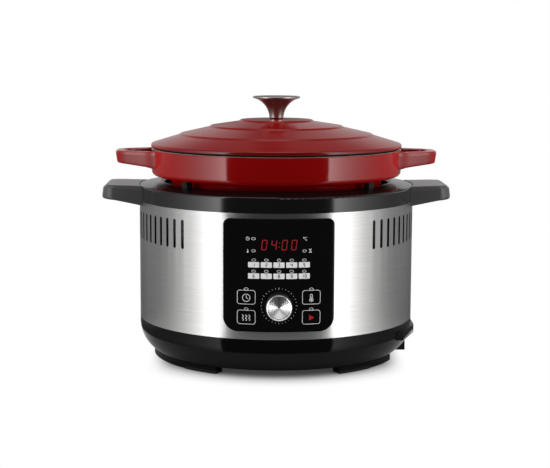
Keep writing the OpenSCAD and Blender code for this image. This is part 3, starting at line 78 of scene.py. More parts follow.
POT_LOW, POT_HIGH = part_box("pot")
LID_LOW, LID_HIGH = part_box("lid")
KNOB_LOW, KNOB_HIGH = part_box("lid_knob")
DIAL_LOW, DIAL_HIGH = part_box("dial")
DIAL_MIDDLE = (DIAL_LOW + DIAL_HIGH) / 2
PANEL_LOW, PANEL_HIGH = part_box("control_panel")
GRIP_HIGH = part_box("right_handle")[1]
RING_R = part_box("top_ring")[1].y
WALL_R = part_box("steel_wall")[1].y
KEYS = ("upper_left_key", "lower_left_key", "upper_right_key", "lower_right_key")

# Prints: how they lie on the panel, and where
PANEL_R = -PANEL_LOW.y
PRINT_LIFT = 0.06 * MM
PRINT_T = 0.05 * MM
PRINT_STEP = 1.2 * MM
THIN_LINE = 0.4 * MM
KEY_LINE = 0.6 * MM
DISPLAY_Z = PANEL_HIGH.z - 25.4 * MM
DIGIT_PLACES = (-14.4, -5.0, 5.4, 14.7)
DIGIT_SLANT = 0.13
COLON_X = 0.2 * MM
COLON_RISE = 2.0 * MM
COLON_D = 1.1 * MM
PROGRAM_ROWS = (116.4, 105.3)
PROGRAM_COLUMNS = 5
PROGRAM_STEP = 12.4
PROGRAM_LIGHT_RISE = 4.8 * MM
NUMBER_STEP = 2.9 * MM
KEY_LIGHT_RISE = 1.3 * MM
KEY_BRIDGE = 3.0 * MM


def from_frame(name, description, metres):
    """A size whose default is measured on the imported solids."""
    return FloatProperty(name=name, description=description, default=metres, unit="LENGTH")


def length(name, description, millimetres):
    """A size that a user may change, given in millimetres and kept in metres."""
    return from_frame(name, description, millimetres * MM)


def angle(name, description, degrees):
    """An angle that a user may change, given in degrees and kept in radians."""
    return FloatProperty(name=name, description=description, default=radians(degrees), subtype="ANGLE")


def colour(name, description, red, green, blue):
    """A colour that a user may change, in linear light."""
    return FloatVectorProperty(name=name, description=description, default=(red, green, blue), size=3,
                               subtype="COLOR", min=0.0, max=1.0)


def share(name, description, default, most=1.0):
    """A plain number that a user may change."""
    return FloatProperty(name=name, description=description, default=default, min=0.0, max=most)


class CookerPot(bpy.types.PropertyGroup):
    """Sizes and colours of the pot"""
    band_r: from_frame("Band radius", "Outer radius of the upper band", POT_HIGH.y)
    body_r: length("Body radius", "Outer radius below the band", 113)
    wall: length("Wall", "Thickness of the wall", 4)
    floor: length("Floor", "Thickness of the floor", 6)
    shoulder: length("Shoulder", "Height of the band's lower edge above the worktop", 191.9)
    corner: length("Corner", "Outer radius of the lower corner", 18)
    recess_r: length("Recess radius", "Radius of the sensor's recess under the floor", 18)
    recess_h: length("Recess height", "Depth of the sensor's recess", 2.8)
    rim_h: length("Rim height", "Height of the bare rim", 1.7)
    rim_inset: length("Rim inset", "How far the bare rim is set back", 2.2)
    loop_w: length("Loop width", "Width of a loop handle where it meets the band", 74)
    loop_taper: angle("Loop taper", "Slant of a loop's sides", 24)
    loop_bar: length("Loop bar", "Width of the loop's bar", 11)
    loop_corner: length("Loop corner", "Outer corner radius of a loop", 20)
    loop_root: length("Loop root", "Thickness of a loop at its root", 16.5)
    loop_tip: length("Loop tip", "Thickness of a loop at its tip", 12.2)
    loop_drop: length("Loop drop", "Distance from the rim down to the top of a loop", 3.4)
    enamel: colour("Enamel", "Outside of the pot, seen at a slant", 0.69, 0.0020, 0.0024)
    # Painted shade: the share of the enamel's colour left face-on, where the red is drawn darker.
    enamel_face_on_shade: share("Depth", "Share of the enamel's colour that is left face-on", 0.39)
    # Painted shade: the lid's enamel is a darker copy of the pot's.
    lid_painted_shade: share("Lid share", "How dark the lid's enamel is beside the pot's", 0.65)
    lining: colour("Lining", "Inside of the pot and the lid", 0.62, 0.57, 0.48)
    iron: colour("Iron", "Bare cast iron of the rim", 0.006, 0.005, 0.005)


class CookerLid(bpy.types.PropertyGroup):
    """Sizes of the lid and its knob"""
    radius: from_frame("Radius", "Outer radius of the lid", LID_HIGH.y)
    seat: length("Seat", "Height of the lid's lower face above the worktop", 221.8)
    edge_h: length("Edge height", "Height of the lid's edge", 4.2)
    wall: length("Wall", "Thickness of the lid", 4.5)
    step_r: length("Step radius", "Radius of the innermost step", 38)
    step_w: length("Step distance", "Distance between the steps", 31.8)
    step_h: length("Step height", "Height of each step", 1.75)
    step_run: length("Step run", "Width of each step's slope", 2.6)
    rise_outer: length("Outer rise", "Rise from the edge to the outer step", 8.3)
    rise_middle: length("Middle rise", "Rise between the outer and the middle step", 6.6)
    rise_inner: length("Inner rise", "Rise between the middle and the inner step", 4.5)
    collar_r: length("Collar radius", "Outer radius of the centring collar", 128)
    collar_t: length("Collar thickness", "Thickness of the centring collar", 3.5)
    hole_r: length("Hole radius", "Radius of the hole for the knob's screw", 2.6)
    knob_r: from_frame("Knob radius", "Radius of the knob's disc", KNOB_HIGH.x)
    knob_neck: length("Knob neck", "Radius of the knob's neck", 7.5)
    knob_rim: length("Knob rim", "Thickness of the knob's rim", 2.2)


class CookerBase(bpy.types.PropertyGroup):
    """Sizes of the grips, the sensor's spring and the dial, and the main tones of the base"""
    grip_tip_w: length("Grip tip width", "Width of a grip near its tip", 72)
    grip_taper: angle("Grip taper", "Slant of a grip's sides", 7)
    grip_corner: length("Grip corner", "Radius of the tip's corners in plan", 15)
    grip_root_t: length("Grip root", "Thickness of a grip at its root", 20.5)
    grip_tip_t: length("Grip tip", "Thickness of a grip at its tip", 15)
    spring_wire: length("Spring wire", "Diameter of the wire of the sensor's spring", 1.2)
    spring_turns: IntProperty(name="Spring turns", description="Turns of the sensor's spring", default=5)
    ring_r: from_frame("Ring radius", "Outer radius of the ring that carries the grips", RING_R)
    ring_top: length("Ring top", "Height of the ring's outer edge, where the grips start", 182.5)
    dial_bevel: length("Dial bevel", "Bevel round the dial's face", 0.8)
    dial_rim: length("Dial rim", "Width of the raised rim of the dial's face", 1)
    dial_dish: length("Dial dish", "Depth of the dial's face below its rim", 0.3)
    steel: colour("Steel", "Brushed wall", 0.585, 0.58, 0.575)
    black: colour("Black", "Moulded black pieces", 0.006, 0.006, 0.0064)
    grip: colour("Grip", "Satin plastic of the grips", 0.076, 0.075, 0.074)


class CookerPrints(bpy.types.PropertyGroup):
    """Sizes and colours of what is printed on the panel"""
    line: length("Line", "Width of a printed line", 0.5)
    digit_h: length("Digit height", "Height of the lit digits", 10.2)
    digit_w: length("Digit width", "Width of the lit digits", 5.3)
    box_w: length("Box width", "Width of a program box", 10.9)
    box_h: length("Box height", "Height of a program box", 5.4)
    frame_w: length("Frame width", "Width of a key's printed frame", 17.6)
    frame_h: length("Frame height", "Height of a key's printed frame", 13.7)
    frame_gap: length("Frame gap", "Half the opening in a key's frame, for the bridge round its light", 3.35)
    tick_r: length("Tick radius", "Radius of the ring of ticks round the dial", 17.4)
    tick_count: IntProperty(name="Ticks", description="Number of ticks round the dial", default=32)
    ink: colour("Ink", "Pale printed lines", 0.85, 0.85, 0.85)
    paper: colour("Paper", "White program boxes", 0.92, 0.92, 0.91)
    lit: colour("Lit", "Lit red digits", 0.29, 0.016, 0.019)


class CookerStage(bpy.types.PropertyGroup):
    """Camera and light of the studio"""
    camera_x: length("Camera x", "Camera position across", -32.6)
    camera_y: length("Camera y", "Camera position along the view", -1508.6)
    camera_z: length("Camera z", "Camera height", 331.3)
    camera_turn: angle("Turn", "Heading of the camera", 1.2)
    camera_pitch: angle("Pitch", "How far the camera looks down", 7.706)
    camera_roll: angle("Roll", "Tilt of the camera", 0.246372)
    lens: FloatProperty(name="Lens", description="Focal length, for a sensor 36 mm wide", default=92.42,
                        unit="CAMERA")
    box_light: share("Softbox", "Brightness of the softboxes at their inner edges", 4.6, 20)
    box_inner: angle("Inner edge", "Angle of the softboxes' inner edges from the front", 46.8)
    box_fade: angle("Fade", "Angle over which a softbox fades outwards", 23)
    box_low: share("Low share", "Share of a softbox's brightness that is left below the table's edge", 0.35)
    room: share("Room", "Brightness of the dark room round the softboxes", 0.04)
    overhead: share("Overhead", "Brightness of the light from above", 1.7, 5)
    rear: share("Rear", "Brightness of the dim wall behind", 0.44, 5)
    floor_r: length("Floor radius", "Radius of the white floor", 215)


def arithmetic(operation, swapped=False):
    """A method of Term that joins it with another value in a Math node."""
    def method(self, other):
        first, second = (other, self) if swapped else (self, other)
        return self.shade.maths(operation, first, second)
    return method


class Term:
    """A shader output that can stand in arithmetic: each operator adds a Math node to its tree."""
    __add__ = arithmetic("ADD")
    __radd__ = arithmetic("ADD", swapped=True)
    __sub__ = arithmetic("SUBTRACT")
    __rsub__ = arithmetic("SUBTRACT", swapped=True)
    __mul__ = arithmetic("MULTIPLY")
    __rmul__ = arithmetic("MULTIPLY", swapped=True)
    __truediv__ = arithmetic("DIVIDE")
    __gt__ = arithmetic("GREATER_THAN")
    __lt__ = arithmetic("LESS_THAN")

    def __init__(self, shade, socket):
        self.shade = shade
        self.socket = socket

    def part(self, name):
        """Another output of the same node."""
        return Term(self.shade, self.socket.node.outputs[name])


class Shade:
    """The node tree of one material or world."""

    def __init__(self, owner):
        owner.use_nodes = True
        self.owner = owner
        self.tree = owner.node_tree
        self.tree.nodes.clear()

    def node(self, kind, settings=None, sockets=None, output=0):
        """Adds a node, its settings first and then its sockets' values or links, and returns an output."""
        made = self.tree.nodes.new(kind)
        for key, value in (settings or {}).items():
            setattr(made, key, value)
        for key, value in (sockets or {}).items():
            if isinstance(value, Term):
                self.tree.links.new(value.socket, made.inputs[key])
            else:
                made.inputs[key].default_value = value
        return Term(self, made.outputs[output]) if made.outputs else None

    def maths(self, operation, *values):
        """A Math node over its values."""
        return self.node("ShaderNodeMath", {"operation": operation}, dict(enumerate(values)))

    def vector(self, operation, *values):
        """A Vector Math node over its values."""
        return self.node("ShaderNodeVectorMath", {"operation": operation}, dict(enumerate(values)))

    def larger(self, first, second):
        """The larger of two values."""
        return self.maths("MAXIMUM", first, second)

    def radius(self, x, y):
        """The distance from an axis."""
        return self.maths("SQRT", x * x + y * y)

    def wave(self, value, pitch):
        """A sine with one wave to each pitch."""
        return self.maths("SINE", value * (2 * pi / pitch))

    def ease(self, value, start, end):
        """0 before start, 1 after end, and a smooth step between."""
        return self.node("ShaderNodeMapRange", {"interpolation_type": "SMOOTHSTEP"},
                         {"Value": value, "From Min": start, "From Max": end})

    def blend(self, factor, first, second):
        """A colour between two."""
        return self.node("ShaderNodeMix", {"data_type": "RGBA"}, {0: factor, 6: first, 7: second}, output=2)

    def varied(self, factor, tone, low, high):
        """A tone that changes between two shares of itself."""
        return self.blend(factor, opaque(tone, low), opaque(tone, high))

    def place(self):
        """Object coordinates, in metres."""
        return self.node("ShaderNodeTexCoord", output="Object")

    def normal(self):
        """The surface's own normal."""
        return self.node("ShaderNodeNewGeometry", output="Normal")

    def axes(self, vector):
        """The three parts of a vector."""
        parts = self.node("ShaderNodeSeparateXYZ", sockets={0: vector})
        return parts, parts.part("Y"), parts.part("Z")

    def point(self, x, y, z):
        """A vector from three parts."""
        return self.node("ShaderNodeCombineXYZ", sockets={0: x, 1: y, 2: z})

    def noise(self, vector, cells, detail=2.0):
        """Soft noise with a number of cells to the metre."""
        return self.node("ShaderNodeTexNoise", sockets={"Vector": vector, "Scale": cells, "Detail": detail})

    def bump(self, height, depth):
        """A normal from a height between 0 and 1 that stands for a depth in metres."""
        return self.node("ShaderNodeBump", sockets={"Height": height, "Distance": depth})

    def seen(self):
        """The ray's kind: whether the camera sees it straight, and whether in a mirror or through glass."""
        ray = self.node("ShaderNodeLightPath", output="Is Camera Ray")
        return ray, self.larger(ray.part("Is Glossy Ray"), ray.part("Is Transmission Ray"))

    def surface(self, **sockets):
        """Ends a material with its surface; underscores in the sockets' names stand for spaces."""
        named = {key.replace("_", " "): value for key, value in sockets.items()}
        shader = self.node("ShaderNodeBsdfPrincipled", sockets=named)
        self.node("ShaderNodeOutputMaterial", sockets={"Surface": shader})
        return self.owner


def new_shade(name):
    """The node tree of a new material."""
    return Shade(bpy.data.materials.new(name))


def opaque(tone, factor=1.0):
    """A colour with its alpha, darkened or lightened by a factor."""
    return (*(min(1.0, part * factor) for part in tone), 1.0)


def moulded(name, tone, roughness, grain_cells, grain_depth, gloss=0.5, sheen=0.0):
    """Moulded plastic: a fine grain in the surface, slow changes of tone, and gloss that varies a little."""
    shade = new_shade(name)
    place = shade.place()
    cloud = shade.noise(place, 24.0)
    grain = shade.noise(place, grain_cells, 4.0)
    return shade.surface(Base_Color=shade.varied(cloud, tone, 0.85, 1.15), Specular_IOR_Level=gloss,
                         Roughness=roughness * (0.9 + 0.2 * cloud), Sheen_Weight=sheen, Sheen_Roughness=0.4,
                         Normal=shade.bump(grain, grain_depth))


def bowl_plastic(name, tone, low, high):
    """Gloss plastic of the shell: outside, its normals turn with the height as on a bowl, from up to down."""
    level_share, up_lean, down_lean = 0.735, 0.9, 0.5
    shade = new_shade(name)
    place = shade.place()
    x, y, z = shade.axes(place)
    radius = shade.radius(x, y)
    up = (z - (low + level_share * (high - low))) / (high - low)
    lean = shade.larger(up, 0.0) * up_lean + shade.maths("MINIMUM", up, 0.0) * down_lean
    level = shade.maths("SQRT", 1.0 - lean * lean)
    normal = shade.normal()
    across, along, _ = shade.axes(normal)
    outside = shade.ease((x * across + y * along) / radius, 0.3, 0.5)
    bowl = shade.point(x / radius * level, y / radius * level, lean)
    cloud = shade.noise(place, 24.0)
    return shade.surface(Base_Color=shade.varied(cloud, tone, 0.6, 0.8), Specular_IOR_Level=0.09,
                         Roughness=0.07 + 0.03 * cloud, Normal=shade.blend(outside, normal, bowl))


def worked_metal(name, tone, roughness, mark_cells, mark_depth):
    """Plain worked metal: fine random marks, with gloss that varies along them."""
    shade = new_shade(name)
    place = shade.place()
    marks = shade.noise(place, mark_cells, 3.0)
    cloud = shade.noise(place, 60.0)
    return shade.surface(Base_Color=shade.varied(cloud, tone, 0.88, 1.08), Metallic=1.0,
                         Roughness=roughness * (0.75 + 0.5 * marks), Normal=shade.bump(marks, mark_depth))


def turned_metal(name, tone, roughness, pitch, depth):
    """Metal turned on a lathe about Z: fine rings, one to each pitch of the radius."""
    shade = new_shade(name)
    place = shade.place()
    x, y, z = shade.axes(place)
    rings = 0.5 + 0.5 * shade.wave(shade.radius(x, y) + z, pitch)
    cloud = shade.noise(place, 45.0)
    return shade.surface(Base_Color=shade.varied(cloud, tone, 0.9, 1.06), Metallic=1.0,
                         Roughness=roughness * (0.8 + 0.4 * cloud), Normal=shade.bump(rings, depth))


def brushed_steel(name, tone):
    """Steel brushed round the wall: streaks long round the axis and fine along it, and painted shade on the
    inside.
    """
    shade = new_shade(name)
    x, y, z = shade.axes(shade.place())
    turn = shade.maths("ARCTAN2", y, x)
    fine = shade.noise(shade.point(turn * 5.0, z * 2600.0, 0.0), 1.0, 3.0)
    broad = shade.noise(shade.point(turn * 2.5, z * 700.0, 0.0), 1.0, 2.0)
    # Painted shade: the inside of the wall is darkened almost to black.
    inside = shade.radius(x, y) < WALL_R - 0.3 * MM
    streaks = shade.varied(0.5 * fine + 0.5 * broad, tone, 0.74, 1.24)
    return shade.surface(Base_Color=shade.blend(inside, streaks, opaque(tone, 0.06)), Metallic=1.0,
                         Roughness=0.27 + 0.08 * fine + 0.04 * broad, Anisotropic=0.8,
                         Anisotropic_Rotation=0.25)


def glaze_with_painted_shade(shade, looks, cloud, level=1.0):
    """The enamel's red, a little cloudy, darkened face-on by painted shade and kept at a slant."""
    # Painted shade: the facing weight darkens the red face-on, where less light falls.
    slant = shade.node("ShaderNodeLayerWeight", sockets={"Blend": 0.5}, output="Facing")
    return shade.blend(slant, opaque(looks.enamel, level * looks.enamel_face_on_shade),
                       shade.varied(cloud, looks.enamel, 0.93 * level, 1.05 * level))


def enamel(name, looks, level, mask, **sockets):
    """Gloss enamel outside, and pale enamel or bare iron where a mask of the place says so."""
    shade = new_shade(name)
    place = shade.place()
    cloud = shade.noise(place, 18.0)
    red = glaze_with_painted_shade(shade, looks, cloud, level)
    pale = shade.varied(cloud, looks.lining, 0.94, 1.04)
    tone, roughness = mask(shade, place, cloud, red, pale)
    ripple = shade.bump(shade.noise(place, 170.0, 1.0), 0.02 * MM)
    return shade.surface(Base_Color=tone, Roughness=roughness, Normal=ripple, **sockets)


def pot_enamel(looks):
    """The pot's enamel: pale in the well and inside the band, and bare iron on the rim."""
    def mask(shade, place, cloud, red, pale):
        x, y, z = shade.axes(place)
        radius = shade.radius(x, y)
        well = (radius < looks.body_r - looks.wall / 2) * (z > POT_LOW.z + looks.floor - 1.5 * MM)
        top = (radius < looks.band_r - looks.wall / 2) * (z > looks.shoulder + looks.wall / 2)
        inside = shade.larger(well, top)
        rim = z > POT_HIGH.z - 0.8 * looks.rim_h
        pits = shade.noise(place, 900.0, 3.0)
        tone = shade.blend(rim, shade.blend(inside, red, pale), opaque(looks.iron))
        return tone, 0.07 + 0.03 * cloud + 0.10 * inside + rim * (0.6 + 0.4 * pits)
    return enamel("pot_enamel", looks, 1.0, mask, IOR=1.6, Specular_Tint=(1.0, 0.72, 0.72, 1.0))


def lid_enamel(looks, collar_r):
    """The lid's enamel: pale underneath, and bare iron where it sits on the pot."""
    def mask(shade, place, cloud, red, pale):
        x, y, _ = shade.axes(place)
        below = shade.ease(shade.axes(shade.normal())[2], -0.1, -0.35)
        seat = shade.radius(x, y) > collar_r - 0.2 * MM
        under = shade.blend(seat, pale, opaque(looks.iron))
        return shade.blend(below, red, under), 0.12 + 0.06 * cloud + 0.5 * below
    # The lid's red is the pot's enamel, darkened as painted shade.
    return enamel("lid_enamel", looks, looks.lid_painted_shade, mask, IOR=1.45)


def dial_metal(name, tone):
    """Aluminium turned in fine rings about the dial's axis: each ring's face leans out along the radius."""
    shade = new_shade(name)
    x, _, z = shade.axes(shade.place())
    across = x - DIAL_MIDDLE.x
    up = z - DIAL_MIDDLE.z
    radius = shade.radius(across, up)
    rings = shade.wave(radius, 0.11 * MM)
    swell = shade.wave(radius, 0.61 * MM)
    tilt = (0.48 + 0.06 * rings + 0.03 * swell) / (radius + 0.2 * MM)
    lean = shade.node("ShaderNodeVectorTransform", {"convert_from": "OBJECT", "convert_to": "WORLD"},
                      {0: shade.point(across * tilt, 0.0, up * tilt)})
    tilted = shade.vector("NORMALIZE", shade.vector("ADD", shade.normal(), lean))
    return shade.surface(Base_Color=shade.varied(0.5 + 0.5 * swell, tone, 0.92, 1.0), Metallic=1.0,
                         Roughness=0.23 + 0.03 * swell, Normal=tilted)


def printed_ink(name, tone, glow=0.0):
    """Flat ink, a little uneven where the screen laid it thin, with a painted glow where it is given one."""
    shade = new_shade(name)
    patch = shade.noise(shade.place(), 1400.0, 2.0)
    return shade.surface(Base_Color=shade.varied(patch, tone, 0.82, 1.1), Roughness=0.45 + 0.1 * patch,
                         Emission_Color=opaque(tone), Emission_Strength=glow)


def lit_ink(name, tone):
    """A lit segment behind the panel's face: it glows, a little less at random spots."""
    shade = new_shade(name)
    patch = shade.noise(shade.place(), 700.0, 1.0)
    return shade.surface(Base_Color=opaque(tone, 0.05), Roughness=0.12, Emission_Strength=1.0,
                         Emission_Color=shade.varied(patch, tone, 0.9, 1.1))


def stacked(*parts):
    """Arrays of coordinates as one array of points."""
    return np.stack(parts, axis=-1)


def unit(vectors):
    """Vectors brought to length 1."""
    return vectors / np.linalg.norm(vectors, axis=1, keepdims=True)


def circle(segments):
    """Even angles round a full turn."""
    return np.linspace(0, 2 * pi, segments, endpoint=False)


def rounded(points, radii, steps=6, closed=False):
    """A line through points with its corners rounded by arcs of the given radii.

    Each arc is the rational quadratic curve from one tangent point to the other about its corner, with the
    corner weighted by the sine of half the angle there.
    """
    points = np.asarray(points, float)
    before = unit(np.roll(points, 1, axis=0) - points)
    after = unit(np.roll(points, -1, axis=0) - points)
    half = 0.5 * np.arccos(np.clip((before * after).sum(axis=1), -1, 1))
    reach = np.broadcast_to(np.asarray(radii, float), len(points)) / np.tan(half)
    if not closed:
        reach = reach * np.r_[0, np.ones(len(points) - 2), 0]
    start = (points + before * reach[:, None])[:, None]
    end = (points + after * reach[:, None])[:, None]
    s = np.linspace(0, 1, steps)[None, :, None]
    weight = np.sin(half)[:, None, None]
    line = (1 - s) ** 2 * start + 2 * s * (1 - s) * weight * points[:, None] + s ** 2 * end
    line = (line / ((1 - s) ** 2 + 2 * s * (1 - s) * weight + s ** 2)).reshape(-1, points.shape[1])
    keep = np.linalg.norm(line - np.roll(line, 1, axis=0), axis=1) > SAME_POINT
    keep[0] = keep[0] or not closed
    return line[keep]


def outlined(rows, steps=6, closed=False):
    """A rounded line from rows of a point's two coordinates and the radius of its corner."""
    rows = np.asarray(rows, float)
    return rounded(rows[:, :2], rows[:, 2], steps, closed)


def quads(grid, closed=True):
    """The points of a grid and its four-cornered faces, which close its rows to rings if asked."""
    rows, columns = grid.shape[:2]
    index = np.arange(rows * columns).reshape(rows, columns)
    if closed:
        index = np.concatenate([index, index[:, :1]], axis=1)
    faces = stacked(index[:-1, :-1], index[:-1, 1:], index[1:, 1:], index[1:, :-1])
    return grid.reshape(-1, 3), faces.reshape(-1, 4)


def lathe(profile, segments):
    """A profile of (radius, height) turned about Z: point (i, j) is (r cos a, r sin a, z)."""
    turn = circle(segments)
    radius, height = np.asarray(profile).T
    return quads(stacked(np.outer(radius, np.cos(turn)), np.outer(radius, np.sin(turn)),
                         np.outer(height, np.ones(segments))))


def capped(grid):
    """A tube of rings, one to each row, with both ends drawn in to the middle of their ring."""
    ends = grid[[0, -1]].mean(axis=1, keepdims=True) + np.zeros((2, grid.shape[1], 3))
    return quads(np.concatenate([ends[:1], grid, ends[1:]]))


def joined(parts):
    """Several surfaces as one: their points in a row, and their faces counted on."""
    starts = np.cumsum([0] + [len(points) for points, _ in parts[:-1]])
    points = np.concatenate([points for points, _ in parts])
    return points, np.concatenate([faces + start for (_, faces), start in zip(parts, starts)])


def merged_mesh(name, surface, outward):
    """A mesh with its doubles merged and, if asked, its faces turned outwards."""
    points, faces = surface
    mesh = bpy.data.meshes.new(name)
    mesh.from_pydata(points.tolist(), [], faces.tolist())
    shape = bmesh.new()
    shape.from_mesh(mesh)
    bmesh.ops.remove_doubles(shape, verts=shape.verts, dist=SAME_POINT)
    bmesh.ops.dissolve_degenerate(shape, dist=SLIVER, edges=shape.edges)
    if outward:
        bmesh.ops.recalc_face_normals(shape, faces=shape.faces)
    shape.to_mesh(mesh)
    shape.free()
    return mesh


def linked(name, mesh, material):
    """An object of a mesh and its material, in the scene."""
    mesh.materials.append(material)
    thing = bpy.data.objects.new(name, mesh)
    bpy.context.scene.collection.objects.link(thing)
    return thing


def place_piece(name, mesh, material, body):
    """A finished mesh as a piece that rides on a body."""
    piece = linked(name, mesh, material)
    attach(piece, body)
    return piece


def closed_piece(name, surface, material, body, replaced):
    """A closed shape that stands for a solid: smooth but for its sharp edges."""
    mesh = merged_mesh(name, surface, outward=True)
    mesh.shade_smooth()
    mesh.set_sharp_from_angle(angle=SHARP)
    piece = place_piece(name, mesh, material, body)
    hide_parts(replaced)
    return piece


def on_panel(flat, lift=PRINT_LIFT):
    """Points (x, z) laid on the panel's curve: y is minus the root of its radius squared less x squared."""
    x, z = flat[..., 0], flat[..., 1]
    return stacked(x, -np.sqrt((PANEL_R + lift) ** 2 - x ** 2), z)


def printed_piece(name, parts, material, body, wrap=on_panel):
    """Flat prints laid on the panel, all facing out, with the thickness of a film behind them."""
    flats = [quads(np.concatenate([flat, np.zeros(flat.shape[:2] + (1,))], axis=-1), closed)
             for flat, closed in parts]
    points, faces = joined(flats)
    points = wrap(points[:, :2])
    corners = points[faces]
    facing = np.cross(corners[:, 1] - corners[:, 0], corners[:, 2] - corners[:, 0])
    facing += np.cross(corners[:, 2] - corners[:, 0], corners[:, 3] - corners[:, 0])
    inward = facing[:, 1] > 0
    faces[inward] = faces[inward][:, ::-1]
    piece = place_piece(name, merged_mesh(name, (points, faces), outward=False), material, body)
    film = piece.modifiers.new("film", "SOLIDIFY")
    film.thickness = PRINT_T
    film.offset = -1


def divided(path, closed):
    """A path with its long straight runs cut into short ones, which can follow the panel's curve."""
    ends = np.concatenate([path, path[:1]]) if closed else path
    runs = np.diff(ends, axis=0)
    counts = np.maximum(1, np.ceil(np.linalg.norm(runs, axis=1) / PRINT_STEP)).astype(int)
    pieces = [start + run * np.arange(count)[:, None] / count
              for start, run, count in zip(ends, runs, counts)]
    return np.concatenate(pieces if closed else pieces + [ends[-1:]])


def stroke(path, width, closed=False):
    """A band of even width along a flat path: each point moved half the width to both sides."""
    path = divided(np.asarray(path, float), closed)
    ahead = np.roll(path, -1, axis=0) - path
    behind = path - np.roll(path, 1, axis=0)
    if not closed:
        ahead[-1] = behind[-1]
        behind[0] = ahead[0]
    ahead = unit(ahead)
    along = unit(ahead + unit(behind))
    side = stacked(-along[:, 1], along[:, 0])
    spread = 0.5 * width / (side * stacked(-ahead[:, 1], ahead[:, 0])).sum(axis=1, keepdims=True)
    return np.stack([path - side * spread, path + side * spread]), closed


def oval(centre, width, height, segments=28):
    """The outline of an oval."""
    turn = circle(segments)
    return np.asarray(centre) + 0.5 * stacked(width * np.cos(turn), height * np.sin(turn))


def light_ring(centre, width, height):
    """A thin oval round a light."""
    return stroke(oval(centre, width * MM, height * MM), THIN_LINE, True)


def frame_line(centre, width, height, corner):
    """The outline of a rectangle with round corners."""
    corners = np.array([(-1, -1), (1, -1), (1, 1), (-1, 1)]) * np.array([width, height]) / 2
    return rounded(np.asarray(centre) + corners, corner, steps=5, closed=True)


def filled(outline):
    """The inside of an outline: smaller and smaller copies of it, down to its middle."""
    outline = divided(np.asarray(outline, float), True)
    middle = outline.mean(axis=0)
    return middle + np.linspace(1, 0, 6)[:, None, None] * (outline - middle), True


SEGMENTS = {
    "a": ((0, 2), (1, 2)), "b": ((1, 2), (1, 1)), "c": ((1, 1), (1, 0)), "d": ((0, 0), (1, 0)),
    "e": ((0, 0), (0, 1)), "f": ((0, 1), (0, 2)), "g": ((0, 1), (1, 1)),
}
DIGITS = ("abcdef", "bc", "abged", "abgcd", "fgbc", "afgcd", "afgedc", "abc", "abcdefg", "abcdfg")
BAR_GAP = 0.12
BAR_WIDTHS = np.array([0.15, 1, 1, 1, 1, 1, 0.15])[:, None]


def digit(value, centre, width, height, thick, slant=0.0):
    """A seven-bar numeral: each bar is a band with pointed ends between two corners of a slanted box."""
    bars = []
    for key in DIGITS[value]:
        ends = np.array(SEGMENTS[key], float) - np.array([0.5, 1.0])
        ends = ends * np.array([width - thick, (height - thick) / 2])
        along = (ends[1] - ends[0]) / np.linalg.norm(ends[1] - ends[0])
        tip = BAR_GAP * thick * along
        shoulder = tip + thick / 2 * along
        inner = np.linspace(ends[0] + shoulder, ends[1] - shoulder, len(BAR_WIDTHS) - 2)
        stations = np.concatenate([[ends[0] + tip], inner, [ends[1] - tip]])
        halves = BAR_WIDTHS * np.array([-along[1], along[0]]) * thick / 2
        bar = np.stack([stations - halves, stations + halves])
        bar[..., 0] += slant * bar[..., 1]
        bars.append((bar + np.asarray(centre), False))
    return bars


class CookerOperator(bpy.types.Operator):
    """Base of the operators that build one piece or group of pieces"""
    bl_options = {"REGISTER", "UNDO"}


